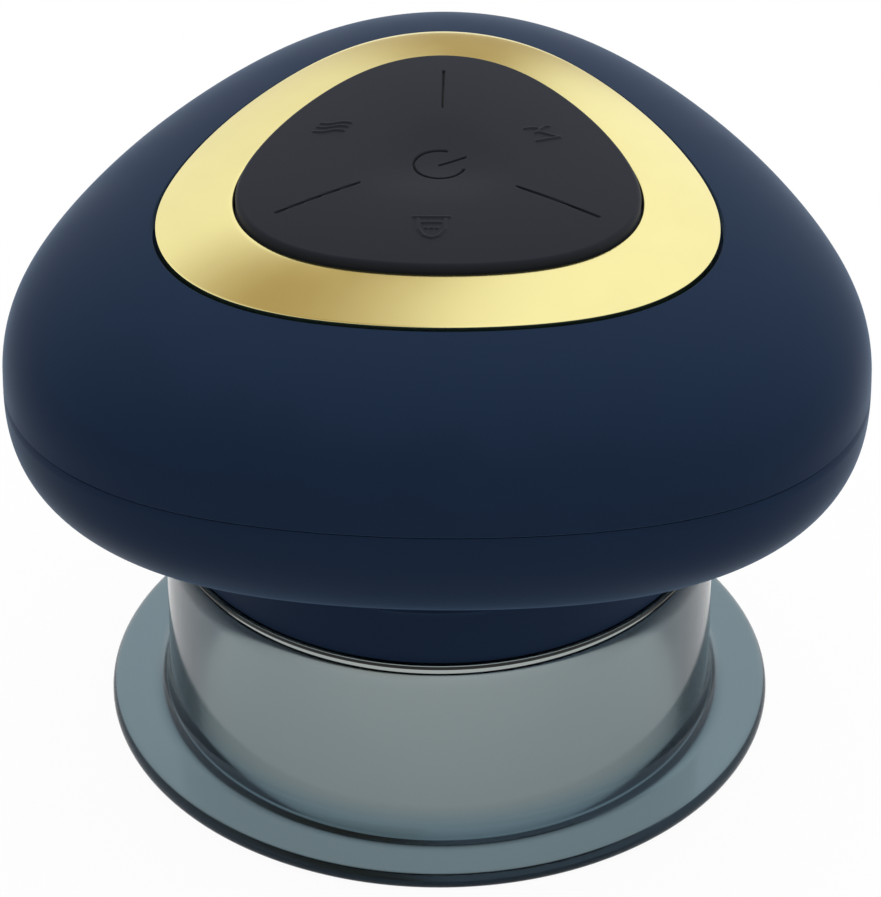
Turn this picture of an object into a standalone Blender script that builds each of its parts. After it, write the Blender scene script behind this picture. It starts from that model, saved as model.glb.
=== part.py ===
"""Electric cupping massager: a three-lobed head on a clear cup, built as an assembly of its separate pieces.

Metres, +Z up. The cup's mouth lies on the ground plane, and one lobe of the head points to +Y, the back.
The origin lies under the middle of the head's plan, so the cup's axis stands a little ahead of it.
"""

import math

import bmesh
import bpy
import numpy as np
from mathutils import Matrix, Vector

MM = 0.001

# Fits and common values
GAP = 0.3 * MM
WALL = 2.0 * MM
OVERRUN = 2.0 * MM
WELD = 0.01 * MM
LOBE_STEPS = 36
ROUND_STEPS = 24
CUP_STEPS = 36
SMALL_STEPS = 12
SCREW_STEPS = 8
TUBE_STEPS = 16
SMOOTH_ANGLE = math.radians(35)
# A hollow or a hole is turned by this angle, so that its corners miss the seams of the piece it cuts
SEAM_TWIST = math.radians(1.5)

# Plan of the head: mean radius, and how far three lobes swell out of it
NECK_RADIUS = 28.9 * MM
HEAD_OVERHANG = 14.84 * MM
HEAD_RADIUS = NECK_RADIUS + HEAD_OVERHANG
LOBE_SHARE = 0.092
LOBE_POINT_SHARE = 0.008
LOBE_FADE = 3.5 * MM

# Heights of the head, from the cup's rim up
CUP_HEIGHT = 24.8 * MM
HEAD_LIFT = 24.1 * MM
EQUATOR = CUP_HEIGHT + HEAD_LIFT
DOME_RISE = 17.8 * MM
DOME_POWER = 2.83
BOWL_DROP = 23.2 * MM
BOWL_RUN_ON = 20.9 * MM
BOWL_POWER = 2.6
NECK_INNER = NECK_RADIUS - WALL
NECK_FOOT = CUP_HEIGHT + GAP
LIP_HEIGHT = 1.6 * MM
LIP_THICKNESS = 0.8 * MM
LIP_BLEND = 4.0 * MM

# Cup: straight wall a step proud of the neck, flared foot, flat flange
CUP_STEP = 0.6 * MM
CUP_RADIUS = NECK_RADIUS + CUP_STEP
CUP_WALL = 2.2 * MM
CUP_INNER = CUP_RADIUS - CUP_WALL
CUP_BEAD = 0.3 * MM
CUP_BEAD_HEIGHT = 0.9 * MM
CUP_ROUNDING = 0.35 * MM
FOOT_FLARE = 1.8 * MM
FOOT_RISE = 3.0 * MM
FLANGE_WIDTH = 6.35 * MM
FLANGE_THICKNESS = 1.85 * MM

# Gold ring and the keypad inside it
RING_OUTER = 28.24 * MM
RING_INNER = 20.85 * MM
RING_THICKNESS = 1.2 * MM
RING_OUTER_PROUD = 0.25 * MM
RING_INNER_PROUD = 0.6 * MM
RING_CROWN = 0.12 * MM
RING_ROUNDING = 0.2 * MM
RING_GROOVE = 0.45 * MM
TRAY_SINK = 2.4 * MM
TRAY_TOP = EQUATOR + DOME_RISE - TRAY_SINK
TRAY_THICKNESS = 1.6 * MM
TRAY_FLOOR = TRAY_TOP - TRAY_THICKNESS
PAD_RADIUS = RING_INNER - GAP
PAD_CROWN = 3.7 * MM
PAD_SHOULDER = 1.1 * MM
PAD_ROUNDING = 0.9 * MM
PAD_DISH = 0.45 * MM
PAD_DISH_RADIUS = 9.0 * MM
PAD_FOOT = TRAY_TOP + GAP
KEY_TRAVEL = 0.3 * MM
KEY_SLACK = 0.1 * MM
KEY_FOOT = PAD_FOOT + KEY_TRAVEL + KEY_SLACK
KEY_RIM = 1.7 * MM
KEY_RIB = 1.8 * MM
POWER_KEY_RADIUS = 7.2 * MM
KEY_BEAD = 0.8 * MM
KEY_REACH = 12.5 * MM
STEM_RADIUS = 1.6 * MM
SPLIT_TURN = math.pi / 2
THIRD = 2 * math.pi / 3

# Tact switches and the main board that carries them, hung under the tray
SWITCH_SIZE = 5.2 * MM
SWITCH_HEIGHT = 1.8 * MM
BUTTON_RADIUS = 1.3 * MM
BUTTON_PROUD = 0.7 * MM
BUTTON_HEIGHT = 1.1 * MM
STEM_REACH = 0.5 * MM
STEM_FOOT = TRAY_FLOOR - STEM_REACH
BUTTON_TOP = STEM_FOOT - GAP
WELL_FOOT = BUTTON_TOP - BUTTON_HEIGHT - KEY_TRAVEL - GAP
SWITCH_TOP = BUTTON_TOP - BUTTON_PROUD
BOARD_TOP = SWITCH_TOP - SWITCH_HEIGHT
BOARD_THICKNESS = 1.6 * MM
BOARD_FOOT = BOARD_TOP - BOARD_THICKNESS
BOARD_RADIUS = 22.0 * MM
BOARD_BOSS_REACH = 19.0 * MM
BOARD_BOSS_RADIUS = 2.4 * MM
CHIP_SIZE = 7.0 * MM
CHIP_HEIGHT = 1.0 * MM
CHIP_PITCH = 10.0 * MM

# Screws: head radius, head height and shank radius
SCREW_HEAD = 1.8 * MM
SCREW_HEAD_HEIGHT = 1.2 * MM
SCREW_SHANK = 0.9 * MM
SCREW_HOLE = SCREW_SHANK + GAP
SCREW_SINK = SCREW_HEAD + GAP
STAKE_HEAD_HEIGHT = 0.8 * MM

# Posts that join the two shells, between the lobes and the flats
POST_STAND = 5.6 * MM
POST_REACH = NECK_RADIUS + POST_STAND
POST_RADIUS = 2.9 * MM
POST_TURN = math.pi / 3
POST_LIFT = 15.0 * MM
POST_SPLIT = CUP_HEIGHT + POST_LIFT
SHELL_SCREW_LENGTH = 9.0 * MM
SCREW_SEAT_LIFT = 13.0 * MM
SHELL_SCREW_SEAT = CUP_HEIGHT + SCREW_SEAT_LIFT

# Base: the plug in the neck that closes the cup
PLUG_DEPTH = 1.9 * MM
BASE_FACE = CUP_HEIGHT - PLUG_DEPTH
BASE_RADIUS = NECK_INNER - 1.5 * GAP
BASE_FLOOR = 1.7 * MM
BASE_SEAT = 3.9 * MM
BASE_HEIGHT = 5.7 * MM
BASE_RIM = 1.5 * MM
BASE_SEAT_WIDTH = 5.1 * MM
SEAL_GROOVE_DEPTH = 1.2 * MM
SEAL_GROOVE_RISE = 0.4 * MM
SEAL_HEIGHT = 0.6 * MM
SEAL_PROUD = 0.5 * MM
LIGHT_RING_INSET = 7.15 * MM
LIGHT_RING_OUTER = BASE_RADIUS - LIGHT_RING_INSET
LIGHT_RING_WIDTH = 4.9 * MM
LIGHT_RING_INNER = LIGHT_RING_OUTER - LIGHT_RING_WIDTH
LIGHT_RING_LIP = 0.9 * MM
LIGHT_RING_LIP_HEIGHT = 0.6 * MM
HEATER_LIP = 0.8 * MM
HEATER_THICKNESS = 1.2 * MM
FILM_THICKNESS = 0.4 * MM
FILM_INSET = 2.0 * MM
SENSOR_RADIUS = 1.1 * MM
LED_BOARD_LAP = 2.4 * MM
LED_BOARD_INNER = LIGHT_RING_INNER - LED_BOARD_LAP
LED_BOARD_THICKNESS = 1.0 * MM
LED_SIZE = 2.8 * MM
LED_HEIGHT = 0.8 * MM
LED_COUNT = 8
BASE_BOSS_INSET = 3.95 * MM
BASE_BOSS_REACH = BASE_RADIUS - BASE_BOSS_INSET
BASE_BOSS_RADIUS = 2.0 * MM
BASE_BOSS_TURNS = (math.radians(85), math.radians(215), math.radians(290))
PORT_INSET = 4.15 * MM
PORT_REACH = BASE_RADIUS - PORT_INSET
PORT_TURN = math.radians(-35)
PORT_RADIUS = 1.9 * MM
PORT_HEIGHT = 9.0 * MM
FILTER_RADIUS = 1.9 * MM
FILTER_THICKNESS = 0.4 * MM

# Chassis: a plate over the neck that carries cell, pump and valve
CHASSIS_LIFT = 10.1 * MM
CHASSIS_FOOT = CUP_HEIGHT + CHASSIS_LIFT
CHASSIS_THICKNESS = 2.0 * MM
CHASSIS_TOP = CHASSIS_FOOT + CHASSIS_THICKNESS
CHASSIS_CLEAR = 1.89 * MM
CRADLE_THICKNESS = 2.4 * MM
CRADLE_FLANK = 3.0 * MM

# Pump along X, its motor at -X
PUMP_Y = 2.4 * MM
PUMP_LIFT = 18.2 * MM
PUMP_Z = CUP_HEIGHT + PUMP_LIFT
MOTOR_BACK = -22.0 * MM
MOTOR_LENGTH = 22.0 * MM
MOTOR_RADIUS = 10.2 * MM
MOTOR_WALL = 0.8 * MM
MAGNET_THICKNESS = 1.5 * MM
MAGNET_CLEAR = 4.5 * MM
ARMATURE_RADIUS = MOTOR_RADIUS - MOTOR_WALL - MAGNET_THICKNESS - 3 * GAP
ARMATURE_SLOT_SHARES = (11 / 35, 23 / 35)
ARMATURE_SLOT, ARMATURE_SLOT_REACH = (ARMATURE_RADIUS * share for share in ARMATURE_SLOT_SHARES)
SLOT_MOUTH = 1.2 * MM
SHAFT_RADIUS = 1.0 * MM
COMMUTATOR_RADIUS = 2.6 * MM
COMMUTATOR_LENGTH = 2.2 * MM
END_CAP_THICKNESS = 2.0 * MM
SLEEVE_THICKNESS = 1.1 * MM
SLEEVE_LENGTH = 15.0 * MM
CRADLE_PLACES = (-15.0 * MM, -6.0 * MM)
PUMP_STEP = 0.2 * MM
PUMP_SIDE = 2 * (MOTOR_RADIUS - PUMP_STEP)
PUMP_CORNER = 3.0 * MM
PUMP_HOUSING_LENGTH = 9.6 * MM
PUMP_WALL = 1.6 * MM
PUMP_CHAMBER = PUMP_SIDE / 2 - PUMP_WALL
ECCENTRIC_RADIUS = 4.4 * MM
ECCENTRIC_LENGTH = 2.6 * MM
CRANK_OFFSET = 2.0 * MM
CRANK_RADIUS = 0.9 * MM
CRANK_LENGTH = 2.6 * MM
ROCKER_RADIUS = PUMP_CHAMBER - 2 * GAP
ROCKER_THICKNESS = 1.4 * MM
ROCKER_HOLE_SHARE = 0.625
DIAPHRAGM_THICKNESS = 1.2 * MM
VALVE_PLATE_THICKNESS = 2.2 * MM
PUMP_HEAD_THICKNESS = 4.2 * MM
NOZZLE_RADIUS = 1.4 * MM
NOZZLE_BORE = 0.7 * MM
NOZZLE_LENGTH = 5.0 * MM
NOZZLE_OFFSET = 4.4 * MM
PUMP_SCREW_INSET = 2.2 * MM
PUMP_SCREW_REACH = PUMP_SIDE / 2 - PUMP_SCREW_INSET

# Cell, at the front
CELL_LENGTH = 44.0 * MM
CELL_DEPTH = 8.0 * MM
CELL_HEIGHT = 18.6 * MM
CELL_CLEAR = 0.58 * MM
CELL_FRONT = POST_REACH * math.sin(POST_TURN) - POST_RADIUS - CELL_CLEAR
CELL_Y = CELL_DEPTH / 2 - CELL_FRONT
CELL_ROUNDING = 1.2 * MM
FOAM_THICKNESS = 0.8 * MM
FOAM_WIDTH = 26.0 * MM
STOP_THICKNESS = 1.6 * MM
STOP_HEIGHT = 8.0 * MM

# Release valve, behind the pump, its port at +X
RELEASE_X = -8.0 * MM
RELEASE_CLEAR = 1.0 * MM
RELEASE_LENGTH = 18.0 * MM
RELEASE_SIDE = 9.6 * MM
RELEASE_WALL = 0.8 * MM
COIL_RADIUS = 3.6 * MM
COIL_BORE = 2.2 * MM
COIL_CHEEK = 0.4 * MM
COIL_LENGTH = 8.4 * MM
PLUNGER_RADIUS = 1.9 * MM
PLUNGER_TRAVEL = 1.2 * MM
PLUNGER_NOSE = 4.4 * MM
RELEASE_SPRING_WIRE = 0.2 * MM
RELEASE_SPRING_TURNS = 3
RELEASE_STOP_HEIGHT = 2.4 * MM

# Charging socket and its board, at the back lobe
SOCKET_WIDTH = 8.9 * MM
SOCKET_HEIGHT = 3.2 * MM
SOCKET_DEPTH = 7.4 * MM
SOCKET_SHELL = 0.4 * MM
SOCKET_ROUNDING = 1.4 * MM
SOCKET_LIFT = 16.6 * MM
TONGUE_WIDTH = 6.6 * MM
TONGUE_HEIGHT = 0.7 * MM
TONGUE_DEPTH = 5.6 * MM
SOCKET_RECESS = 1.8 * MM
CHARGE_BOARD_WIDTH = 12.0 * MM
CHARGE_BOARD_DEPTH = 9.6 * MM
CHARGE_BOARD_THICKNESS = 1.2 * MM
CHARGE_POST_X = 4.0 * MM
CHARGE_POST_INSET = 2.6 * MM
CHARGE_POST_RADIUS = 1.9 * MM

# Air line
HOSE_BORE = NOZZLE_RADIUS + 1.5 * GAP
HOSE_WALL = 0.7 * MM
HOSE_RADIUS = HOSE_BORE + HOSE_WALL
HOSE_LAP = 3.0 * MM
TEE_LENGTH = 5.0 * MM
TEE_LIFT = 19.0 * MM
TEE_ARM_SHARE = 0.95
HOSE_STAND = 3.1 * MM
HOSE_SIDE = NECK_RADIUS + HOSE_STAND
HOSE_FRONT_SHARE = 0.6
HOSE_CORNER_SHARES = (0.76, 0.8)

# Wiring
RIBBON_WIDTH = 3.6 * MM
RIBBON_THICKNESS = 0.4 * MM
LEAD_RADIUS = 0.7 * MM

# Looks: sRGB hex, roughness, metallic
LOOKS = {
    "navy_soft_touch": ("1B2A42", 0.5, 0.0),
    "gold_plated": ("E3CF86", 0.22, 1.0),
    "charcoal_silicone": ("33363E", 0.55, 0.0),
    "smoke_polycarbonate": ("6E7E84", 0.08, 0.0),
    "black_silicone": ("15171B", 0.5, 0.0),
    "black_abs": ("24262B", 0.5, 0.0),
    "grey_abs": ("8A8D91", 0.5, 0.0),
    "white_diffuser": ("E9E4E2", 0.35, 0.0),
    "green_board": ("1F5B3C", 0.45, 0.0),
    "steel": ("B9BCC0", 0.3, 1.0),
    "aluminium": ("C9CCD0", 0.35, 1.0),
    "copper": ("B5713C", 0.35, 1.0),
    "brass": ("C9A95A", 0.3, 1.0),
    "cell_wrap": ("3C6FA8", 0.4, 0.0),
    "foam": ("3A3A3C", 0.9, 0.0),
    "ferrite": ("46464A", 0.6, 0.0),
    "heater_film": ("B06A2C", 0.5, 0.0),
    "clear_silicone": ("D9DDDF", 0.3, 0.0),
    "red_lead": ("A32420", 0.5, 0.0),
}


def linear(channel):
    """sRGB share to linear share."""
    return channel / 12.92 if channel <= 0.04045 else ((channel + 0.055) / 1.055) ** 2.4


def look(name):
    """The Principled material of that name, made once."""
    if name in bpy.data.materials:
        return bpy.data.materials[name]
    code, roughness, metallic = LOOKS[name]
    colour = [linear(int(code[i : i + 2], 16) / 255) for i in (0, 2, 4)]
    material = bpy.data.materials.new(name)
    material.use_nodes = True
    shader = material.node_tree.nodes["Principled BSDF"]
    shader.inputs["Base Color"].default_value = (*colour, 1)
    shader.inputs["Roughness"].default_value = roughness
    shader.inputs["Metallic"].default_value = metallic
    material.diffuse_color = (*colour, 1)
    return material


def new_collection(name):
    collection = bpy.data.collections.new(name)
    bpy.context.scene.collection.children.link(collection)
    return collection


for old in list(bpy.data.objects):
    bpy.data.objects.remove(old)
PARTS = new_collection("cupping_massager")
TOOLS = new_collection("cutters")
TOOLS.hide_render = True


def new_object(name, mesh, look_name):
    """A part with its material, or a cutter where no look is named."""
    obj = bpy.data.objects.new(name, mesh)
    if look_name:
        mesh.materials.append(look(look_name))
        PARTS.objects.link(obj)
    else:
        obj.hide_render = True
        obj.display_type = "WIRE"
        TOOLS.objects.link(obj)
    return obj


def from_bmesh(name, bm, look_name):
    mesh = bpy.data.meshes.new(name)
    bmesh.ops.recalc_face_normals(bm, faces=bm.faces)
    bm.to_mesh(mesh)
    bm.free()
    mesh.shade_smooth()
    mesh.set_sharp_from_angle(angle=SMOOTH_ANGLE)
    return new_object(name, mesh, look_name)


def applied(obj):
    """The object with its modifiers or its curve turned into one welded mesh."""
    bpy.context.view_layer.update()
    graph = bpy.context.evaluated_depsgraph_get()
    mesh = bpy.data.meshes.new_from_object(obj.evaluated_get(graph))
    bm = bmesh.new()
    bm.from_mesh(mesh)
    bmesh.ops.remove_doubles(bm, verts=bm.verts, dist=WELD)
    name, place = obj.name, obj.matrix_world.copy()
    look_name = obj.active_material.name if obj.active_material else None
    bpy.data.objects.remove(obj)
    bpy.data.meshes.remove(mesh)
    done = from_bmesh(name, bm, look_name)
    done.matrix_world = place
    return done


def aim(start, direction):
    """The matrix that puts local Z along the direction, at the start."""
    turn = Vector((0, 0, 1)).rotation_difference(Vector(direction))
    return Matrix.Translation(Vector(start)) @ turn.to_matrix().to_4x4()


def turned(name, section, look_name, start=(0, 0, 0), direction=(0, 0, 1), steps=ROUND_STEPS, closed=True):
    """A section of (radius, height) points turned round the direction through the start.

    The section runs down its outer side. Where it is open, both its ends lie on the axis.
    """
    mesh = bpy.data.meshes.new(name)
    count = len(section)
    edges = [(i, i + 1) for i in range(count - 1)] + ([(count - 1, 0)] if closed else [])
    mesh.from_pydata([(radius, 0, height) for radius, height in section], edges, [])
    obj = new_object(name, mesh, look_name)
    screw = obj.modifiers.new("Turned", "SCREW")
    screw.angle = 2 * math.pi
    screw.steps = screw.render_steps = steps
    screw.use_merge_vertices = True
    screw.merge_threshold = WELD
    screw.use_smooth_shade = True
    obj = applied(obj)
    obj.matrix_world = aim(start, direction)
    return obj


def disc(name, radius, foot, top, look_name, steps=ROUND_STEPS, bore=0):
    """An upright disc or, with a bore, a ring round the axis."""
    if bore:
        section = [(radius, top), (radius, foot), (bore, foot), (bore, top)]
    else:
        section = [(0, top), (radius, top), (radius, foot), (0, foot)]
    return turned(name, section, look_name, steps=steps, closed=bool(bore))


def block(name, size, centre, look_name, rounding=0):
    """A box, with its edges rounded where a rounding is given."""
    bm = bmesh.new()
    bmesh.ops.create_cube(bm, size=1)
    bmesh.ops.scale(bm, vec=size, verts=bm.verts)
    obj = from_bmesh(name, bm, look_name)
    obj.location = centre
    if rounding:
        bevel = obj.modifiers.new("Rounded", "BEVEL")
        bevel.width = rounding
        bevel.segments = 2
        bevel.limit_method = "NONE"
    return obj


def rod(name, radius, start, end, look_name, steps=SMALL_STEPS):
    """A cylinder from one point to another."""
    start, end = Vector(start), Vector(end)
    bm = bmesh.new()
    length = (end - start).length
    twist = Matrix.Rotation(SEAM_TWIST, 4, "Z")
    bmesh.ops.create_cone(
        bm, cap_ends=True, segments=steps, radius1=radius, radius2=radius, depth=length, matrix=twist
    )
    obj = from_bmesh(name, bm, look_name)
    obj.matrix_world = aim((start + end) / 2, end - start)
    return obj


def pipe(name, outer, bore, start, end, look_name, steps=SMALL_STEPS):
    """A straight tube from one point to another."""
    start, end = Vector(start), Vector(end)
    length = (end - start).length
    section = [(outer, length), (outer, 0), (bore, 0), (bore, length)]
    return turned(name, section, look_name, start, end - start, steps)


def prism(name, outline, foot, top, look_name):
    """A flat outline of (x, y) points, filled and drawn up from foot to top."""
    curve = bpy.data.curves.new(name, "CURVE")
    curve.dimensions = "2D"
    curve.fill_mode = "BOTH"
    curve.extrude = (top - foot) / 2
    spline = curve.splines.new("POLY")
    spline.points.add(len(outline) - 1)
    for point, (x, y) in zip(spline.points, outline):
        point.co = (x, y, 0, 1)
    spline.use_cyclic_u = True
    obj = new_object(name, curve, look_name)
    obj.location.z = (foot + top) / 2
    return applied(obj)


def change(obj, tool, operation):
    """A Boolean of the object with a tool, which moves to the cutters."""
    modifier = obj.modifiers.new(operation.title() + " " + tool.name, "BOOLEAN")
    modifier.operation = operation
    modifier.solver = "EXACT"
    modifier.object = tool
    tool.hide_render = True
    tool.display_type = "WIRE"
    if PARTS in tool.users_collection:
        PARTS.objects.unlink(tool)
        TOOLS.objects.link(tool)
    return obj


def cut(obj, *tools):
    for tool in tools:
        change(obj, tool, "DIFFERENCE")
    return obj


def fuse(obj, *tools):
    for tool in tools:
        change(obj, tool, "UNION")
    return obj


def keep(obj, tool):
    return change(obj, tool, "INTERSECT")


def polar(reach, turn, height):
    return Vector((reach * math.cos(turn), reach * math.sin(turn), height))


def lobing(turn):
    """Plan radius at this angle over the mean radius: three lobes, one of them at the back."""
    from_back = turn - math.pi / 2
    return 1 + LOBE_SHARE * np.cos(3 * from_back) + LOBE_POINT_SHARE * np.cos(6 * from_back)


def draw_out_lobes(obj):
    """Draws a round piece out to the head's three lobes.

    Above the widest line every circle takes the same lobed plan. Below it the lobes shrink towards the neck,
    and at the neck the plan is round.
    """
    mesh = obj.data
    points = np.empty(len(mesh.vertices) * 3)
    mesh.vertices.foreach_get("co", points)
    points = points.reshape(-1, 3)
    radius = np.hypot(points[:, 0], points[:, 1])
    turn = np.arctan2(points[:, 1], points[:, 0])
    fade = np.clip((radius - NECK_RADIUS) / LOBE_FADE, 0, 1)
    below = (radius + BOWL_RUN_ON) / (HEAD_RADIUS + BOWL_RUN_ON) * fade
    reach = np.where(points[:, 2] >= EQUATOR - GAP, radius / HEAD_RADIUS, below)
    moved = radius + HEAD_RADIUS * (lobing(turn) - 1) * reach
    points[:, 0] = moved * np.cos(turn)
    points[:, 1] = moved * np.sin(turn)
    mesh.vertices.foreach_set("co", points.ravel())
    mesh.update()
    return obj


def lobed(name, section, look_name, closed=True, twist=0):
    """A turned piece drawn out to three lobes, its seams turned by the twist."""
    obj = turned(name, section, look_name, steps=LOBE_STEPS, closed=closed)
    obj.data.transform(Matrix.Rotation(twist, 4, "Z"))
    return draw_out_lobes(obj)


def dome_height(radius, inset=0):
    """Height of the dome, or of its inner face, over a mean radius."""
    share = min(radius / (HEAD_RADIUS - inset), 1)
    return EQUATOR + (DOME_RISE - inset) * (1 - share**DOME_POWER) ** (1 / DOME_POWER)


def bowl_height(radius, inset=0):
    """Height of the bowl's outer face, or of its inner one, over a mean radius."""
    share = (radius + BOWL_RUN_ON) / (HEAD_RADIUS - inset + BOWL_RUN_ON)
    return EQUATOR - (BOWL_DROP - inset) * max(1 - share**BOWL_POWER, 0) ** (1 / BOWL_POWER)


def bowl_radius(height, inset=0):
    """Mean radius of the bowl's outer face, or of its inner one, at a height."""
    drop = (EQUATOR - height) / (BOWL_DROP - inset)
    return (HEAD_RADIUS - inset + BOWL_RUN_ON) * (1 - drop**BOWL_POWER) ** (1 / BOWL_POWER) - BOWL_RUN_ON


def spaced(start, end, count, power):
    """Radii from start to end, closer together near the widest line."""
    widest = max(start, end)
    first, last = (math.acos(min(value / widest, 1) ** (power / 2)) for value in (start, end))
    turns = np.linspace(first, last, count)
    return [widest * math.cos(turn) ** (2 / power) for turn in turns]


def dome_points(start, end, count, inset=0):
    return [(radius, dome_height(radius, inset)) for radius in spaced(start, end, count, DOME_POWER)]


def bowl_points(start, end, count, inset=0):
    """Points along the bowl, spaced by the angle of its curve."""
    widest = HEAD_RADIUS - inset + BOWL_RUN_ON
    shares = [min((value + BOWL_RUN_ON) / widest, 1) for value in (start, end)]
    turns = np.linspace(*(math.acos(share ** (BOWL_POWER / 2)) for share in shares), count)
    radii = [widest * math.cos(turn) ** (2 / BOWL_POWER) - BOWL_RUN_ON for turn in turns]
    return [(radius, bowl_height(radius, inset)) for radius in radii]


def arc_points(centre, radii, first, last, count):
    """Points on an ellipse's arc, angles in degrees."""
    turns = np.radians(np.linspace(first, last, count))
    return [(centre[0] + radii[0] * math.cos(turn), centre[1] + radii[1] * math.sin(turn)) for turn in turns]


def ring_top(radius):
    """Height of the gold ring's face: it stands proud of the dome, more so at its inner edge."""
    share = (radius - RING_INNER) / (RING_OUTER - RING_INNER)
    crown = RING_CROWN * 4 * share * (1 - share)
    return dome_height(radius) + RING_INNER_PROUD * (1 - share) + RING_OUTER_PROUD * share + crown


def screw(name, tip, head):
    """A plain screw: its shank from the tip to the head, and the head beyond."""
    tip, head = Vector(tip), Vector(head)
    along = (head - tip).normalized()
    length = (head - tip).length
    section = [
        (0, length + SCREW_HEAD_HEIGHT),
        (SCREW_HEAD, length + SCREW_HEAD_HEIGHT),
        (SCREW_HEAD, length),
        (SCREW_SHANK, length),
        (SCREW_SHANK, 0),
        (0, 0),
    ]
    return turned(name, section, "steel", tip, along, SCREW_STEPS, closed=False)


def screws(name, tips, heads):
    """Numbered screws between paired points."""
    return [screw(f"{name}_{i + 1}", *pair) for i, pair in enumerate(zip(tips, heads))]


def post_places(height):
    return [polar(POST_REACH, POST_TURN + i * THIRD, height) for i in range(3)]


def board_boss_places(height):
    return [polar(BOARD_BOSS_REACH, SPLIT_TURN + i * THIRD, height) for i in range(3)]


def base_boss_places(height):
    return [polar(BASE_BOSS_REACH, turn, height) for turn in BASE_BOSS_TURNS]


def key_places(height):
    """Centres of the power key and of the three keys round it."""
    return {
        "power": polar(0, 0, height),
        "heat": polar(KEY_REACH, SPLIT_TURN + THIRD / 2, height),
        "scrape": polar(KEY_REACH, SPLIT_TURN - THIRD / 2, height),
        "suction": polar(KEY_REACH, -SPLIT_TURN, height),
    }


def rods(name, radius, starts, ends, steps=SMALL_STEPS):
    """Cutters or bosses of one radius between paired points."""
    pairs = enumerate(zip(starts, ends))
    return [rod(f"{name}_{i}", radius, start, end, None, steps) for i, (start, end) in pairs]


# The housing


def top_shell():
    """The domed shell: an outer solid, less a hollow that leaves its posts and bosses standing."""
    foot = EQUATOR + GAP / 2
    groove = RING_OUTER + RING_GROOVE
    seat = [(RING_INNER, ring_top(RING_INNER)), (RING_OUTER, ring_top(RING_OUTER))]
    seat = [(radius + GAP, height - RING_THICKNESS - 1.4 * GAP) for radius, height in seat]
    outer = [(0, TRAY_TOP), (RING_INNER, TRAY_TOP), seat[0], (groove, seat[1][1])]
    outer += dome_points(groove, HEAD_RADIUS, 8)[:-1]
    outer += [(HEAD_RADIUS, foot), (0, foot)]
    shell = lobed("top_shell", outer, "navy_soft_touch", closed=False)
    shelf = seat[1][1] - WALL
    join = groove + WALL
    inner = [(0, TRAY_FLOOR), (PAD_RADIUS - WALL, TRAY_FLOOR), (groove, shelf), (join, shelf)]
    inner = [point for point in inner if point[1] <= TRAY_FLOOR]
    inner += dome_points(join + WALL, HEAD_RADIUS - WALL, 5, WALL)[:-1]
    inner += [(HEAD_RADIUS - WALL, EQUATOR + LIP_HEIGHT + GAP), (HEAD_RADIUS - WALL, foot - OVERRUN)]
    inner += [(0, foot - OVERRUN)]
    hollow = lobed("top_hollow", inner, None, closed=False, twist=SEAM_TWIST)
    posts = rods("top_post", POST_RADIUS, post_places(POST_SPLIT), post_places(TRAY_TOP), SCREW_STEPS)
    feet = board_boss_places(BOARD_TOP + GAP)
    bosses = rods("board_boss", BOARD_BOSS_RADIUS, feet, board_boss_places(TRAY_TOP), SCREW_STEPS)
    cut(hollow, *bosses)
    cut(shell, hollow)
    fuse(shell, *[trimmed_post(i, post) for i, post in enumerate(posts)])
    pilot_tops = post_places(SHELL_SCREW_SEAT + SHELL_SCREW_LENGTH + GAP)
    cut(shell, *rods("post_pilot", SCREW_HOLE, post_places(POST_SPLIT - OVERRUN), pilot_tops, SCREW_STEPS))
    fuse(shell, *stakes("board", board_boss_places(0), BOARD_TOP + WALL, BOARD_FOOT))
    holes = [rod(f"stem_hole_{key}", STEM_RADIUS + 2 * GAP, place, place + Vector((0, 0, 2 * OVERRUN)), None)
             for key, place in key_places(TRAY_FLOOR - OVERRUN / 2).items()]
    return cut(shell, *holes)


def stakes(name, places, root, face):
    """Moulded pins from the root height through a board to its far face, each with its melted head beyond."""
    away = 1 if face > root else -1
    pieces = []
    for i, place in enumerate(places):
        heights = (root, face + away * GAP, face + away * (GAP + STAKE_HEAD_HEIGHT / 2))
        start, under, middle = (Vector((place.x, place.y, height)) for height in heights)
        pieces.append(rod(f"{name}_stake_{i}", SCREW_SHANK, start, middle, None, SCREW_STEPS))
        pieces.append(rod(f"{name}_stake_head_{i}", SCREW_HEAD, under, 2 * middle - under, None, SCREW_STEPS))
    return pieces


def trimmed_post(index, post):
    """A post of the top shell, cut off by the dome's middle face so that it ends inside the wall."""
    half = WALL / 2
    inside = dome_points(RING_OUTER, HEAD_RADIUS - half, 9, half)[:-1]
    section = [(0, inside[0][1])] + inside + [(HEAD_RADIUS - half, CUP_HEIGHT), (0, CUP_HEIGHT)]
    keep(post, lobed(f"post_limit_{index}", section, None, closed=False, twist=SEAM_TWIST))
    return post


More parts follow.
